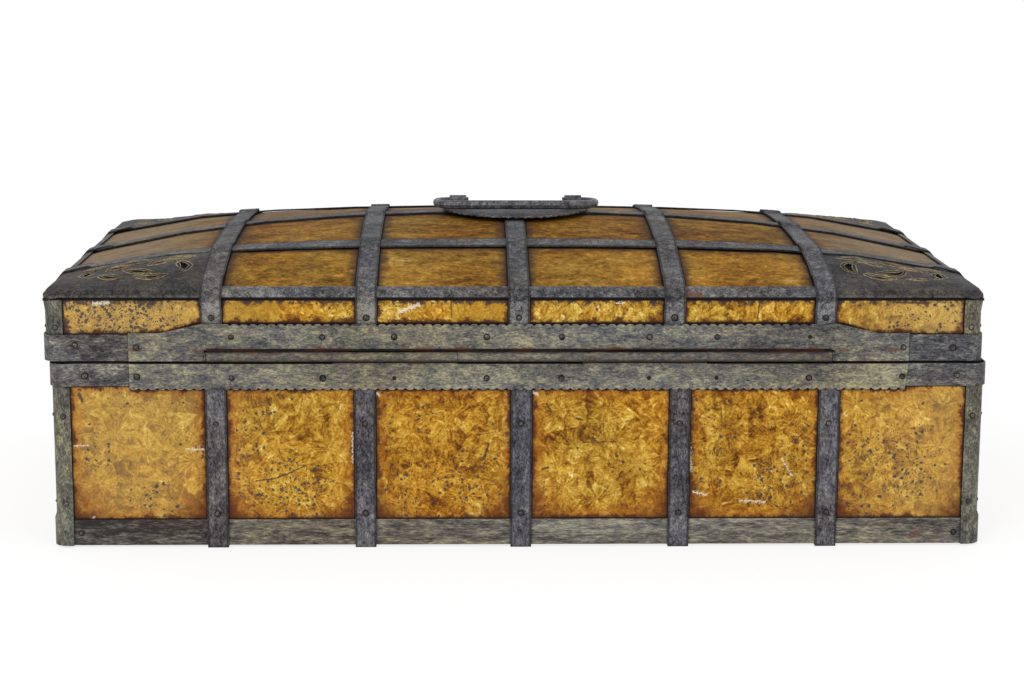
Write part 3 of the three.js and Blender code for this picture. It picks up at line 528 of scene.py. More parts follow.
def roof_marks_and_shade(s, colour):
    """Darkening beside the strips and specks, with painted shade: a dark line along the strips, black under
    the corner plates and along the outermost rim.
    """
    nearest = s.smallest(distance_from(s, LID_STRAPS, 0), distance_from(s, LONG_BANDS, 1))
    wander = s.wander(12 * MM, 120.0)
    colour = s.over(colour, paint(62, 44, 36), s.fade(s.plus(nearest, wander), 9 * MM, 0.0), 0.85)
    # Painted shadow: a dark line beside the strips, which stand off the roof
    colour = s.over(colour, SHADE_AND_GRIME, s.fade(nearest, 1.6 * MM, 0.3 * MM), 0.9)
    pits = specks(s, s.share(s.fade(s.noise(14.0, roughness=0.6), 0.5, 0.7), 0.16))
    colour = s.over(colour, SPECK, pits, 0.75)
    # Painted shade: black under the corner plates, which shows through their openings
    shade_under_plate = s.share(*(s.fade(past_middle(s, axis), *PLATE_SHADE[axis]) for axis in (0, 1)))
    colour = s.over(colour, paint(18, 15, 15), shade_under_plate)
    # Painted shadow: the outermost rim, under the eave, is black
    rims = []
    for axis in (0, 1):
        start = (roof_high[axis] - roof_low[axis]) / 2 - ROOF_RIM
        rims.append(s.fade(past_middle(s, axis), start, start + 0.4 * MM))
    return s.over(colour, JET, s.largest(*rims))


def roof_tin(name):
    """Tinplate with darkened lacquer, worn in long streaks and greyer towards the ends, with a painted grey
    sheen on the lock side.
    """
    s = Shader(name)
    streaks = s.noise(46.0, 6.0, 0.66, s.scaled(s.warped(0.014, 30.0), (1.0, 2.3, 1.6)))
    fine = s.noise(190.0, 4.0, 0.65, s.scaled(s.warped(0.004, 120.0), (0.9, 1.3, 1.0)), distortion=0.8)
    clouds = s.noise(14.0, roughness=0.6)
    grain = s.noise(640.0, roughness=0.75, vector=s.scaled(s.place, (0.6, 1.0, 1.0)))
    front_strip = s.fade(s.y, -88 * MM, -104 * MM)
    tone = s.varied(0.47, ((streaks, 0.85), (fine, 0.8), (grain, 0.9), (clouds, 0.6), (front_strip, 0.13)))
    colour = s.ramp(tone, ROOF_STOPS)
    hue = s.ramp(s.noise(20.0, detail=3.0), [(0.38, (1.07, 0.92, 0.74)), (0.6, (0.95, 0.99, 1.1))])
    colour = s.mix(0.8, colour, hue, "MULTIPLY")
    ends = s.share(s.fade(past_middle(s, 0), 0.17, 0.27), 0.75)
    # Painted sheen: the far, lock side of the roof is greyer, like a reflection of the white studio
    lock_side_sheen = s.share(s.fade(s.y, -0.03, 0.06), 0.4)
    grey = s.share(s.largest(ends, lock_side_sheen), s.varied(0.8, ((streaks, 1.4),)))
    colour = s.over(colour, paint(134, 124, 108), s.plus(grey, 0.0, clamp=True))
    colour = roof_marks_and_shade(s, colour)
    # Painted shade in corners and crevices, from ambient occlusion
    colour = s.over(colour, SHADE_AND_GRIME, s.math("POWER", s.crevices(4 * MM, 1.2), 1.4))
    normal = s.bumped((s.noise(14.0, detail=2.0), 1.6 * MM, 0.4), (tone, 0.12 * MM, 0.4))
    return s.finish(colour, s.varied(0.72, ((fine, 0.2),)), 0.0, normal, specular=0.06)


def barrel_shading_and_wear(s, colour, rusty):
    """The hinge's barrel with painted shading that makes it look round, painted shadow lines in the gaps
    above and below it, and the rust near them.
    """
    height = s.apart(s.z, hinge_axis_z)
    on_barrel = s.fade(s.size(s.x), BARREL_HALF_LENGTH + 1 * MM, BARREL_HALF_LENGTH)
    colour = s.over(colour, paint(70, 58, 50), on_barrel, s.fade(height, 3.6 * MM, 3.2 * MM), 0.3)
    # Painted shading: lighter just above the axis and darker towards the top and bottom of the barrel
    painted_rounding = s.share(s.fade(s.apart(s.z, hinge_axis_z + 0.8 * MM), 0.9 * MM, 4.0 * MM), 0.75)
    colour = s.over(colour, paint(30, 26, 25), on_barrel, s.fade(height, 5.0 * MM, 4.0 * MM), painted_rounding)
    # Painted shadow: black lines in the gaps above and below the barrel
    gap = s.apart(height, BARREL_GAP)
    colour = s.over(colour, JET, on_barrel, s.fade(gap, 1.1 * MM, 0.6 * MM), 0.92)
    wander = s.wander(14 * MM, 90.0, 0.42, detail=5.0, roughness=0.7)
    near = s.fade(s.plus(gap, wander), 2.0 * MM, 0.6 * MM)
    return colour, s.largest(rusty, s.share(near, 0.85))


def iron(name, tones, rust_share=0.0, along=(1.0, 1.0, 1.0), roughness=0.58, metallic=0.3, rubbed_edges=0.4,
         lift=0.0, wall_painted_light=0.0, hinge=False, dark_until=None, margins=()):
    """Dark wrought iron: mottled and grainy, with worn tinning, rust in places and rubbed edges.
    The four tones go from dark to pale. Margins are pieces and an axis, for darkening along their edges."""
    s = Shader(name)
    stretched = s.scaled(s.place, along)
    clouds = s.noise(34.0, 6.0, 0.62, s.scaled(s.warped(0.01, 40.0), along))
    mottle = s.noise(240.0, 6.0, 0.78, stretched, 0.4)
    grain = s.noise(900.0, 4.0, 0.8, stretched)
    tone = s.varied(0.5 + lift, ((clouds, 0.8), (mottle, 1.5), (grain, 1.5)))
    # Painted light: lighter where a strip runs down the wall under the eave
    if wall_painted_light:
        tone = s.plus(tone, s.share(s.fade(s.z, lid_tin_top, lid_tin_top - 3 * MM), wall_painted_light))
    if hinge:
        lower = s.fade(s.less(s.z, hinge_axis_z), 0.0, -1 * MM)
        brighter = s.largest(lower, s.fade(s.size(s.x), 170 * MM, 110 * MM))
        tone = s.plus(tone, s.share(brighter, 0.09))
    if dark_until is not None:
        tone = s.less(tone, s.share(s.fade(s.x, *dark_until), 0.2))
    colour = s.ramp(tone, stops((0.2, 0.46, 0.66, 0.88), tones))
    hue = s.ramp(s.noise(18.0, vector=stretched), [(0.38, (1.07, 0.99, 0.88)), (0.6, (0.95, 0.98, 1.1))])
    colour = s.mix(0.75, colour, hue, "MULTIPLY")
    for names, axis in margins:
        inwards = s.plus(distance_from(s, names, axis), s.share(mottle, 1.6 * MM))
        colour = s.over(colour, SHADE_AND_GRIME, s.fade(inwards, -1.0 * MM, 0.3 * MM), 0.8)

    rusty = s.fade(s.noise(60.0, detail=6.0, roughness=0.7), 0.66 - rust_share, 0.8 - rust_share)
    if hinge:
        colour, rusty = barrel_shading_and_wear(s, colour, rusty)
    rusty = s.largest(rusty, marks(s, RUST_MARKS, 6.0))
    colour = s.over(colour, RUST, rusty, 0.7)
    rubbed = s.share(s.edges(0.7 * MM), s.fade(mottle, 0.36, 0.6))
    colour = s.over(colour, paint(150, 146, 132), rubbed, rubbed_edges)
    # Painted shade in corners and crevices, from ambient occlusion; it also dulls the metal there
    corner_shade = s.crevices(2.5 * MM, 1.3)
    colour = s.over(colour, SHADE_AND_GRIME, s.math("POWER", corner_shade, 1.3))
    cracks = creases(s, 40.0, 0.01, 0.56)
    normal = s.bumped((clouds, 1.0 * MM, 0.45), (mottle, 0.22 * MM, 0.6), (cracks, -0.1 * MM, 0.5))
    rough = s.plus(s.varied(roughness, ((mottle, 0.3),)), s.share(rusty, 0.2), clamp=True)
    metal = s.less(metallic, s.share(s.largest(rusty, corner_shade), metallic), clamp=True)
    return s.finish(colour, rough, metal, normal, specular=0.18)


def aged_wood(name, grain):
    """Dry softwood stained red-brown. The grain runs where its factor is small."""
    s = Shader(name)
    lines = s.noise(60.0, 6.0, 0.6, s.scaled(s.warped(0.012, 12.0), grain), 0.6)
    fine = s.noise(300.0, detail=3.0, vector=s.scaled(s.place, grain))
    tone = s.plus(s.share(lines, 0.7), s.share(fine, 0.3))
    colour = s.ramp(tone, [
        (0.30, (0.05, 0.018, 0.009)),
        (0.48, (0.15, 0.055, 0.022)),
        (0.60, (0.24, 0.095, 0.04)),
        (0.74, (0.34, 0.16, 0.075)),
    ])
    stains = s.share(s.fade(s.noise(20.0), 0.5, 0.75), 0.5)
    colour = s.over(colour, (0.07, 0.03, 0.018), stains)
    # Painted shade in corners and crevices, from ambient occlusion
    colour = s.over(colour, SHADE_AND_GRIME, s.crevices(6 * MM, 0.8))
    # Painted shade: the outer faces of the boards are black, as the shade in the gaps where they show
    outer_face = s.fade(s.size(s.y), board_face - 2 * MM, board_face - 1 * MM)
    colour = s.over(colour, JET, outer_face)
    normal = s.bumped((lines, 0.5 * MM, 0.5), (fine, 0.15 * MM, 0.5))
    return s.finish(colour, s.plus(0.62, s.share(fine, 0.3)), 0.0, normal)


def plain_dark(name):
    """Near black that stands for shade in nail holes, round the openings of the corner plates and under
    their edges.
    """
    s = Shader(name)
    colour = s.ramp(s.noise(900.0), [(0.3, (0.003, 0.003, 0.003)), (0.7, (0.012, 0.009, 0.007))])
    return s.finish(colour, 0.95, 0.0)


def floor_paint(name):
    """White paper under the box, bright enough to melt into the background."""
    s = Shader(name)
    s.fill(s.surface, {"Emission Color": (1, 1, 1), "Emission Strength": 0.78})
    return s.finish((0.22, 0.22, 0.22), 0.9, 0.0, specular=0.0)


def tinplate_materials():
    """The tinplate, by slot and by the names of the nodes that differ from their slot."""
    return {
        "gold_tin": gold_tin("gold_tin_base", "base", 0.0, 0.34, BASE_CROWDS, BASE_SCRATCHES, BASE_CHIPS),
        "lid_rim_tin": gold_tin("gold_tin_lid", "lid", 0.03, 0.12, LID_CROWDS, LID_SCRATCHES, LID_CHIPS,
                                PLAIN_BAYS),
        "roof_tin": roof_tin("roof_tin_worn"),
    }


def wood_materials():
    crosswise = aged_wood("wood_crosswise", (1.0, 0.06, 1.0))
    return {
        "chest_wood": aged_wood("wood_lengthwise", (0.06, 1.0, 1.0)),
        "base_left_board": crosswise,
        "base_right_board": crosswise,
    }


DULL = {"roughness": 0.66, "metallic": 0.1}
DARK_TONES = ((26, 25, 28), (68, 67, 70), (103, 102, 102), (148, 146, 138))
RIM_TONES = ((46, 44, 46), (88, 86, 86), (122, 119, 112), (178, 173, 140))
LENGTHWISE = (0.4, 1.0, 1.0)
UPRIGHT = (1.0, 1.0, 0.55)


def slot_irons():
    return {
        "strap_iron": iron(
            "strap_iron_worn", ((38, 36, 40), (84, 82, 87), (116, 114, 115), (152, 150, 138)),
            0.02, UPRIGHT, lift=-0.04, margins=((BASE_STRAPS, 0),)),
        "pierced_iron": iron(
            "pierced_iron_worn", ((28, 26, 28), (62, 59, 58), (88, 83, 76), (122, 110, 88)),
            lift=-0.1, **DULL, rubbed_edges=0.6),
        "hinge_iron": iron(
            "hinge_iron_worn", ((50, 49, 52), (94, 93, 92), (128, 125, 108), (174, 168, 136)),
            along=LENGTHWISE, hinge=True),
        "handle_iron": iron(
            "handle_iron_rubbed", ((36, 36, 40), (78, 78, 83), (110, 110, 113), (152, 152, 150)),
            0.02, roughness=0.46, metallic=0.4),
        "lock_iron": iron(
            "lock_iron_filed", ((52, 50, 50), (92, 89, 86), (120, 116, 112), (150, 146, 140)), 0.06),
    }


def node_irons():
    """The irons of the nodes that differ from their slot."""
    corner = iron("corner_iron_olive", ((50, 48, 44), (88, 86, 77), (118, 116, 99), (162, 158, 122)),
                  along=UPRIGHT)
    eave = iron("roof_iron_dark", DARK_TONES, lift=0.06, **DULL)
    found = {
        "base_foot_band": iron(
            "foot_iron_brushed", ((48, 44, 42), (94, 90, 85), (132, 127, 112), (174, 168, 140)),
            0.02, (0.18, 0.5, 1.0), dark_until=(-0.18, -0.21)),
        "base_rim_band": iron("rim_iron_base", RIM_TONES, along=LENGTHWISE),
        "lid_rim_band": iron("rim_iron_lid", RIM_TONES, along=LENGTHWISE, lift=-0.12),
        "handle_plate": iron("handle_plate_iron", DARK_TONES, lift=-0.06, roughness=0.6, metallic=0.2,
                             rubbed_edges=0.9),
    }
    for place in CORNERS:
        found[f"base_corner_strap_{place}"] = corner
        found[f"lid_corner_strap_{place}"] = corner
    for place in (*SIDES, *ENDS):
        found[f"lid_eave_band_{place}"] = eave
    for names, axis in ((LID_STRAPS, 0), (LONG_BANDS, 1)):
        strip = iron(f"roof_strip_iron_{axis}", DARK_TONES, **DULL, wall_painted_light=0.2,
                     margins=((names, axis),))
        found.update(dict.fromkeys(names, strip))
    return found


def rivet_materials():
    """The heads, and the ring of painted shadow round the foot of each."""
    heads = iron("rivet_heads", ((30, 28, 30), (64, 60, 60), (94, 89, 86), (150, 144, 136)),
                 0.03, roughness=0.35, metallic=0.5, rubbed_edges=0.0)
    # The ring round each head is painted shadow
    s = Shader("rivet_dirt")
    colour = s.ramp(s.noise(700.0), stops((0.3, 0.7), ((20, 17, 17), (46, 40, 38))))
    return heads, s.finish(colour, 0.9, 0.0, specular=0.1)


def bead_material():
    tones = ((84, 74, 58), (134, 118, 90), (168, 152, 118), (200, 186, 152))
    return iron("bead_iron", tones, **DULL, rubbed_edges=0.0)


# Modifiers that soften the CAD sheets

# Edges that turn more than this stay sharp and are worn down
STEEP_ANGLE = math.radians(28)

# How far the edges of sheet iron are worn, and the distance under which points are joined
SHEET_WEAR = 0.22 * MM
WELD_DISTANCE = 0.002 * MM


def softening_group():
    """Welds a mesh, shades it smooth and keeps edges sharp where faces meet steeply."""
    group = bpy.data.node_groups.new("soften_sheet", "GeometryNodeTree")
    for way in ("INPUT", "OUTPUT"):
        group.interface.new_socket("Geometry", in_out=way, socket_type="NodeSocketGeometry")
    new = group.nodes.new
    start = new("NodeGroupInput")
    weld = new("GeometryNodeMergeByDistance")
    weld.inputs["Distance"].default_value = WELD_DISTANCE
    plain = new("GeometryNodeRemoveAttribute")
    plain.inputs["Name"].default_value = "custom_normal"
    smooth = new("GeometryNodeSetShadeSmooth")
    sharpen = new("GeometryNodeSetShadeSmooth")
    sharpen.domain = "EDGE"
    sharpen.inputs["Shade Smooth"].default_value = False
    angle = new("GeometryNodeInputMeshEdgeAngle")
    steep = new("FunctionNodeCompare")
    steep.operation = "GREATER_THAN"
    steep.inputs[1].default_value = STEEP_ANGLE
    end = new("NodeGroupOutput")
    link = group.links.new
    chain = (start, weld, plain, smooth, sharpen, end)
    for one, two in zip(chain, chain[1:]):
        link(one.outputs[0], two.inputs[0])
    link(angle.outputs["Unsigned Angle"], steep.inputs[0])
    link(steep.outputs[0], sharpen.inputs["Selection"])
    return group


def soften(obj, group, width):
    """Smooths a piece and wears its edges down by a width, which may be 0."""
    weld = obj.modifiers.new("soften", "NODES")
    weld.node_group = group
    if width == 0:
        return
    flatten = obj.modifiers.new("flatten", "DECIMATE")
    flatten.decimate_type = "DISSOLVE"
    flatten.angle_limit = math.radians(0.4)
    bevel = obj.modifiers.new("worn_edges", "BEVEL")
    bevel.width = width
    bevel.segments = 2
    bevel.limit_method = "ANGLE"
    bevel.angle_limit = STEEP_ANGLE
    bevel.harden_normals = True


# Rivets and nail holes

RIVET_RADIUS = 1.75 * MM
RIVET_SIDES = 14
HOLE_SIDES = 18

# The burr round an empty hole and the dirt in it, in millimetres: radius and height
BURR_PROFILE = ((2.0, 0), (1.8, 0.16), (1.5, 0.14), (1.4, 0))
PIT_PROFILE = ((1.55, 0.02), (1.3, 0.05), (0, 0.04))

# Heights of the heads on the base straps, and the height above which a strap has stepped out
UPPER_HEAD, LOWER_HEAD, STRAP_STEP = 82 * MM, 22.8 * MM, 100 * MM

# The lid's strips are flat on the wall below this height
LID_WALL_LEVEL = 154 * MM

# From the outer face of a folded corner strap to the middle of its wing
WING_MIDDLE = 7.7 * MM

# Fastenings along a hinge leaf, and how far from the pin the leaf is flat
LEAF_XS = (-245, -184.5, -126.4, -80.6, -21.4, 26.7, 82.9, 126.4, 186, 246.4)
LEAF_FLAT = 9 * MM


def new_piece(name, form, material, body):
    """Makes a piece of the visual model from a bmesh, which it frees."""
    piece = formed(name, form, material)
    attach(piece, body)
    return piece


def turn_to(normal):
    return normal.normalized().to_track_quat("Z", "Y").to_matrix().to_4x4()


def circle(sides):
    """The corners of a regular polygon of radius 1."""
    angles = [2 * math.pi * i / sides for i in range(sides)]
    return [(math.cos(a), math.sin(a)) for a in angles]


def skin(mesh, rings, smooth=True):
    """Joins rings of points with faces. A ring of one point closes a form."""
    for lower, upper in zip(rings, rings[1:]):
        sides = max(len(lower), len(upper))
        for i in range(sides):
            j = (i + 1) % sides
            corners = [ring[k % len(ring)] for ring, k in ((lower, i), (lower, j), (upper, j), (upper, i))]
            mesh.faces.new(list(dict.fromkeys(corners))).smooth = smooth


def lathe(mesh, profile, sides, place):
    """Adds a turned form: profile lists (radius, height) from its foot to its crown."""
    rings = []
    for radius, height in profile:
        spots = [Vector((radius * c, radius * s, height)) for c, s in circle(sides if radius else 1)]
        rings.append([mesh.verts.new(place @ spot) for spot in spots])
    skin(mesh, rings)


def rivet_profile(radius, height):
    angles = [math.radians(a) for a in range(0, 90, 18)]
    dome = [(radius * math.cos(a), height * math.sin(a)) for a in angles]
    return [(0, -0.3 * MM), (radius, -0.3 * MM), *dome, (0, height)]


def rivets(name, places, body, materials, seed):
    """Hammered dome heads, each a little different, in rings of painted shadow. Places are as head() gives
    them.
    """
    draw = random.Random(seed)
    mesh, dirt = bmesh.new(), bmesh.new()
    for point, normal, factor in places:
        r = RIVET_RADIUS * factor * draw.uniform(0.9, 1.08)
        h = r * draw.uniform(0.6, 0.78)
        tilt = Matrix()
        for axis in "XY":
            tilt = tilt @ Matrix.Rotation(math.radians(draw.uniform(-6, 6)), 4, axis)
        squeeze = Matrix.Diagonal((draw.uniform(0.93, 1.05), draw.uniform(0.93, 1.05), 1, 1))
        place = Matrix.Translation(point) @ turn_to(normal)
        lathe(mesh, rivet_profile(r, h), RIVET_SIDES, place @ tilt @ squeeze)
        # A dark ring round each head's foot, as painted shadow
        spread = r + draw.uniform(0.3, 0.55) * MM
        ring = [(spread, 0.02 * MM), (spread * 0.9, 0.06 * MM), (r * 0.9, 0.1 * MM)]
        lathe(dirt, ring, RIVET_SIDES, place @ squeeze)
    new_piece(name, mesh, materials[0], body)
    new_piece(name + "_dirt", dirt, materials[1], body)


def nail_holes(name, places, body, rim_material, dirt_material):
    """Empty nail holes: a low burr round a pit painted near black as shade."""
    burrs = bmesh.new()
    pits = bmesh.new()
    for point, normal in places:
        place = Matrix.Translation(point) @ turn_to(normal)
        for form, profile in ((burrs, BURR_PROFILE), (pits, PIT_PROFILE)):
            lathe(form, [(r * MM, h * MM) for r, h in profile], HOLE_SIDES, place)
    new_piece(f"{name}_burrs", burrs, rim_material, body)
    new_piece(f"{name}_pits", pits, dirt_material, body)


def head(axis, side, face, along, z, factor):
    """A rivet on a wall: the wall's axis and side, its face, how far along and up it sits, and its size."""
    point, normal = Vector((along, along, z)), Vector((0, 0, 0))
    point[axis] = face
    normal[axis] = side
    return point, normal, factor


def face_at(node, axis, side, low=-1.0, high=1.0):
    """How far out a piece reaches to one side, between two heights."""
    reach = [side * v.co[axis] for v in nodes[node].data.vertices if low < v.co.z < high]
    return side * max(reach)


def strap_heads(node, axis, side):
    """Two heads on an upright strap of the base. The upper one sits where the strap steps out."""
    middle = sum(c[1 - axis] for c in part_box(node)) / 2
    upper = head(axis, side, face_at(node, axis, side, STRAP_STEP), middle, UPPER_HEAD, 0.95)
    return upper, head(axis, side, face_at(node, axis, side), middle, LOWER_HEAD, 0.95)


def base_rivets(material):
    places = []
    for node in BASE_STRAPS:
        for side in (-1, 1):
            places.extend(strap_heads(node, 1, side))
    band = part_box("base_foot_band")
    for side in (-1, 1):
        for x, z in ((-283.8, 9.6), (-204.6, 8.0), (284.0, 9.0)):
            places.append(head(1, side, band[side > 0].y, x * MM, z * MM, 0.9))
    for end, side in zip(ENDS, (-1, 1)):
        for y in (-0.125, 0.0, 0.125):
            places.append(head(0, side, band[side > 0].x, y, 10 * MM, 0.8))
        for place in SIDES:
            places.extend(strap_heads(f"base_end_strap_{end}_{place}", 0, side))
    rivets("base_rivets", places, "base", material, 3)


def corner_rivets(prefix, heights, level, body, material, seed):
    """Heads on both wings of the folded corner straps, whose faces are measured between two heights.
    Those on the end walls are low and small."""
    places = []
    for end, sx in zip(ENDS, (-1, 1)):
        for side, sy in zip(SIDES, (-1, 1)):
            node = f"{prefix}_{side}_{end}"
            x_face, y_face = face_at(node, 0, sx, *level), face_at(node, 1, sy, *level)
            for z in heights:
                places.append(head(1, sy, y_face, x_face - sx * WING_MIDDLE, z, 0.95))
                places.append(head(0, sx, x_face, y_face - sy * WING_MIDDLE, z, 0.5))
    rivets(f"{prefix}_rivets", places, body, material, seed)


def lid_rivets(material):
    """Heads at the lower ends of the lid straps and of the folded band ends."""
    places = []
    for names, axis, z, factor in ((LID_STRAPS, 1, 151.3, 1.1), (LONG_BANDS, 0, 149, 0.8)):
        for node in names:
            middle = sum(c[1 - axis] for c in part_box(node)) / 2
            for side in (-1, 1):
                face = face_at(node, axis, side, high=LID_WALL_LEVEL)
                places.append(head(axis, side, face, middle, z * MM, factor))
    rivets("lid_strap_rivets", places, "lid", material, 7)


def leaf_fastenings(node, body, height, end_height, empty, material, burr, dirt, seed):
    """Rivets along a hinge leaf, with empty holes where their heads are lost."""
    face = min(v.co.y for v in nodes[node].data.vertices if abs(v.co.z - hinge_axis_z) > LEAF_FLAT)
    heads, holes = [], []
    for index, x in enumerate(LEAF_XS):
        z = end_height if index in (0, len(LEAF_XS) - 1) else height
        place = head(1, -1, face, x * MM, z * MM, 1.0)
        if index in empty:
            holes.append(place[:2])
        else:
            heads.append(place)
    rivets(f"{node}_rivets", heads, body, material, seed)
    nail_holes(f"{node}_holes", holes, body, burr, dirt)


def rim_rivets(node, body, places_back, material, seed):
    """Heads on the ends of a rim band, and spaced along its hidden sides."""
    low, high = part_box(node)
    middle = (low.z + high.z) / 2
    places = [head(1, -1, low.y, x * MM, z * MM, 0.95) for x, z in places_back]
    places += [head(1, 1, high.y, -0.26 + 0.065 * i, middle, 0.95) for i in range(9)]
    for side, face in ((-1, low.x), (1, high.x)):
        places += [head(0, side, face, y, middle, 0.7) for y in (-0.135, -0.045, 0.045, 0.135)]
    rivets(f"{node}_rivets", places, body, material, seed)


# Beads round the openings of the corner plates

# From an opening's edge to the second line round it, and the sides of the wire that stands for a line
BED_WIDTH = 2.4 * MM
BEAD_SIDES = 5

# The painted shade under the corner plates: heights, length along each wall, and distances out from the
# wall
SEAM_LEVELS = (162.4 * MM, 163.9 * MM)
SEAM_LENGTH = 10 * MM
SEAM_DEPTHS = (0.2 * MM, 1.1 * MM)


def welded(node):
    """A copy of a node's mesh with its points joined."""
    mesh = bmesh.new()
    mesh.from_mesh(nodes[node].data)
    bmesh.ops.remove_doubles(mesh, verts=mesh.verts, dist=WELD_DISTANCE)
    return mesh


def opening_loops(node):
    """The upper edges of a plate's openings, each as a closed line of places."""
    mesh = welded(node)
    low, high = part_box(node)
    inset = 4 * MM
    nexts = {}
    for edge in mesh.edges:
        flat = [face.normal.z > 0.6 for face in edge.link_faces]
        walls = [abs(face.normal.z) < 0.5 for face in edge.link_faces]
        middle = (edge.verts[0].co + edge.verts[1].co) / 2
        open_place = all(low[k] + inset < middle[k] < high[k] - inset for k in (0, 1))
        if any(flat) and any(walls) and open_place:
            for a, b in (edge.verts, reversed(edge.verts)):
                nexts.setdefault(a.index, []).append(b.index)
    mesh.verts.ensure_lookup_table()
    loops, seen = [], set()
    for start in nexts:
        if start in seen:
            continue
        line, here = [], start
        while here is not None:
            seen.add(here)
            line.append(mesh.verts[here].co.copy())
            here = next((n for n in nexts[here] if n not in seen), None)
        if len(line) > 3:
            loops.append(line)
    mesh.free()
    return loops


def directions(line, i):
    """Along a closed line at one of its places, and level across it."""
    way = (line[(i + 1) % len(line)] - line[i - 1]).normalized()
    return way, way.cross(Vector((0, 0, 1))).normalized()


def outwards(line, tree, distance):
    """The same closed line moved out along the plate, and laid on its surface."""
    middle = sum(line, Vector()) / len(line)
    moved = []
    for i, here in enumerate(line):
        across = directions(line, i)[1]
        if across.dot(here - middle) < 0:
            across.negate()
        place = here + distance * across
        hit = tree.ray_cast(place + Vector((0, 0, 0.05)), Vector((0, 0, -1)))[0]
        moved.append(hit if hit and abs(hit.z - here.z) < 2 * MM else place)
    return moved


def bead(mesh, line, radius):
    """Adds a round wire along a closed line."""
    rings = []
    for i, here in enumerate(line):
        way, across = directions(line, i)
        up = way.cross(across)
        rings.append([mesh.verts.new(here + radius * (c * across + n * up)) for c, n in circle(BEAD_SIDES)])
    skin(mesh, rings + rings[:1])


def plate_beads(material, dirt_material):
    """A chased line round each opening, and a shallow bed of painted shade between the two."""
    lift = Vector((0, 0, 0.12 * MM))
    for corner in CORNERS:
        node = f"lid_corner_plate_{corner}"
        solid, beads, beds = bmesh.new(), bmesh.new(), bmesh.new()
        solid.from_mesh(nodes[node].data)
        tree = BVHTree.FromBMesh(solid)
        for line in opening_loops(node):
            outer = outwards(line, tree, BED_WIDTH)
            bead(beads, line, 0.35 * MM)
            bead(beads, outer, 0.5 * MM)
            # Painted shade: a dark bed between each opening and the line round it
            rows = [[beds.verts.new(place + lift) for place in row] for row in (line, outer)]
            skin(beds, rows, smooth=False)
        solid.free()
        new_piece(f"{node}_beads", beads, material, "lid")
        new_piece(f"{node}_beds", beds, dirt_material, "lid")


# Pieces of sheet, and painted shade along the eave

def eave_strips(material, group):
    """Strips along the eave at the width that shows, cut from the sheets of the solids they stand for."""
    for place, axis, side in (("back", 1, -1), ("front", 1, 1), ("left", 0, -1), ("right", 0, 1)):
        node = f"lid_eave_band_{place}"
        inwards, cut = Vector((0, 0, 0)), Vector((0, 0, 0))
        inwards[axis] = -side
        cut[axis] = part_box(node)[side > 0][axis] - side * EAVE_STRIP_WIDTH
        mesh = welded(node)
        every = [*mesh.verts, *mesh.edges, *mesh.faces]
        bmesh.ops.bisect_plane(mesh, geom=every, plane_co=cut, plane_no=inwards, clear_outer=True)
        open_edges = [edge for edge in mesh.edges if edge.is_boundary]
        bmesh.ops.holes_fill(mesh, edges=open_edges, sides=0)
        strip = new_piece(f"{node}_strip", mesh, material, "lid")
        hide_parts(node)
        soften(strip, group, SHEET_WEAR)


def corner_seams(material):
    """Painted shadow in the seam between each corner plate and the folded strap under it."""
    low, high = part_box("lid_rim_tin")
    mesh = bmesh.new()
    for x, sx in ((low.x, -1), (high.x, 1)):
        for y, sy in ((low.y, -1), (high.y, 1)):
            sides = []
            for out in SEAM_DEPTHS:
                far, near = (x - sx * SEAM_LENGTH, y + sy * out), (x + sx * out, y - sy * SEAM_LENGTH)
                sides.append([far, (x + sx * out, y + sy * out), near])
            outline = sides[0] + sides[1][::-1]
            rings = [[mesh.verts.new((*spot, z)) for spot in outline] for z in SEAM_LEVELS]
            skin(mesh, rings, smooth=False)
            for ring in rings:
                mesh.faces.new(ring)
    bmesh.ops.recalc_face_normals(mesh, faces=mesh.faces)
    new_piece("lid_corner_seams", mesh, material, "lid")


# Stage, light and camera

def add_camera():
    """The camera that was fitted to the photograph."""
    pitch, yaw, roll = 0.188317, -0.0234671, -0.00392745
    turn = (Matrix.Rotation(yaw, 4, "Z") @ Matrix.Rotation(math.pi / 2 - pitch, 4, "X")
            @ Matrix.Rotation(-roll, 4, "Z"))
    data = bpy.data.cameras.new("camera")
    sensor_width, focal_pixels, picture_pixels = 36, 2200, 1024
    data.sensor_width = sensor_width
    data.lens = focal_pixels * sensor_width / picture_pixels
    data.clip_end = 50
    camera = linked("camera", data)
    camera.matrix_world = Matrix.Translation((-0.0377, -1.5523, 0.3977)) @ turn
    bpy.context.scene.camera = camera


def add_floor(material):
    mesh = bmesh.new()
    bmesh.ops.create_grid(mesh, x_segments=8, y_segments=8, size=12)
    floor = formed("floor", mesh, material)


def add_light(name, place, aim, size, watts, colour=(1, 1, 1)):
    data = bpy.data.lights.new(name, "AREA")
    data.shape = "RECTANGLE"
    data.size, data.size_y = size
    data.energy = watts
    data.color = colour
    light = linked(name, data)
    light.location = place
    light.rotation_euler = (Vector(aim) - Vector(place)).to_track_quat("-Z", "Y").to_euler()


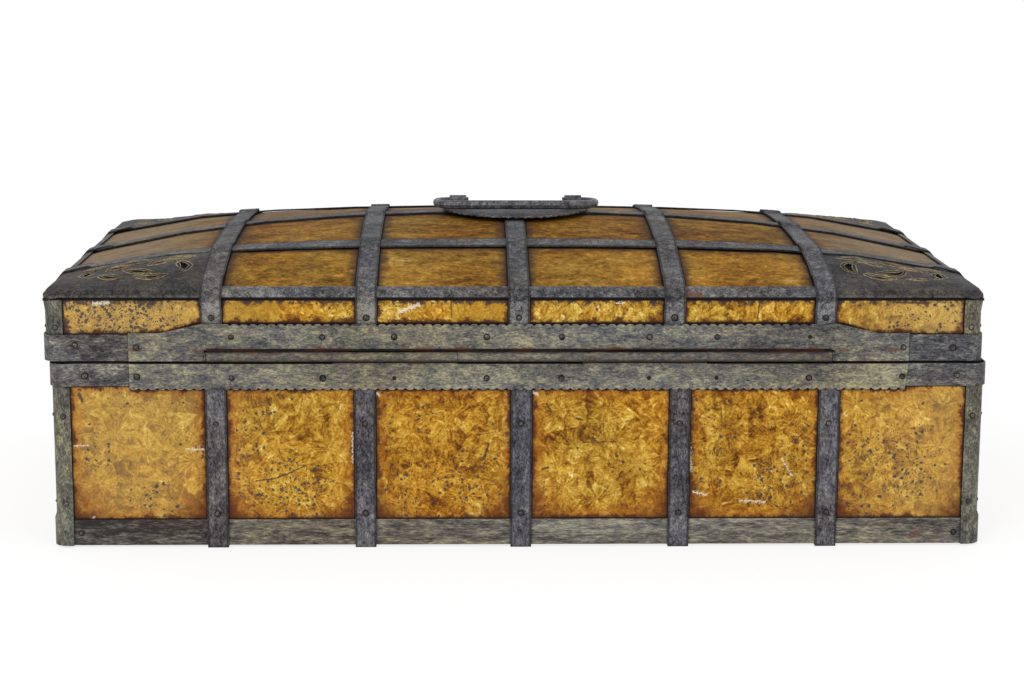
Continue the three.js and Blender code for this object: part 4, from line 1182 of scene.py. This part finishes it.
def add_lights():
    world = bpy.data.worlds.new("studio")
    bpy.context.scene.world = world
    world.use_nodes = True
    background = world.node_tree.nodes["Background"]
    background.inputs["Color"].default_value = (1, 1, 1, 1)
    background.inputs["Strength"].default_value = 1.0
    add_light("key", (-1.4, -2.6, 2.0), (0, 0, 0.1), (1.2, 0.9), 28)
    add_light("fill", (2.2, -2.0, 1.4), (0, 0, 0.1), (1.4, 1.2), 10)
    view = bpy.context.scene.view_settings
    view.view_transform = "Standard"
    view.look = "None"


# Putting it together

def edge_wear(name, slot):
    """How far the sharp edges of a piece are worn. The round bail has none."""
    if name == "handle_bail":
        return 0
    if name.startswith("handle_staple"):
        return 0.5 * MM
    return 0.6 * MM if slot == "chest_wood" else SHEET_WEAR


def dress_nodes(materials, group):
    for name, obj in nodes.items():
        slot = obj.data.materials[0].name.split(".")[0]
        obj.material_slots[0].material = materials.get(name) or materials[slot]
        soften(obj, group, edge_wear(name, slot))


def main():
    add_camera()
    add_floor(floor_paint("floor_paint"))
    add_lights()
    materials = {**slot_irons(), **node_irons(), **wood_materials(), **tinplate_materials()}
    group = softening_group()
    dress_nodes(materials, group)
    heads, hinge = rivet_materials(), materials["hinge_iron"]
    # Near black for painted shade in holes, beds and seams
    dirt = plain_dark("nail_hole_dirt")
    base_rivets(heads)
    lid_rivets(heads)
    corner_rivets("base_corner_strap", (0.087, 0.0294), (0.03, 0.13), "base", heads, 11)
    corner_rivets("lid_corner_strap", (0.145,), (0.12, 0.156), "lid", heads, 13)
    leaf_fastenings("base_hinge_leaf", "base", 112.2, 113.2, (3, 6, 7), heads, hinge, dirt, 17)
    leaf_fastenings("lid_hinge_leaf", "lid", 139.0, 132.3, (8,), heads, hinge, dirt, 19)
    rim_rivets("base_rim_band", "base", ((-278.2, 113.7), (281.6, 113.9)), heads, 23)
    rim_rivets("lid_rim_band", "lid", ((-283.9, 133.9), (278.3, 131.9)), heads, 29)
    plate_beads(bead_material(), dirt)
    eave_strips(materials["lid_eave_band_back"], group)
    corner_seams(dirt)


main()
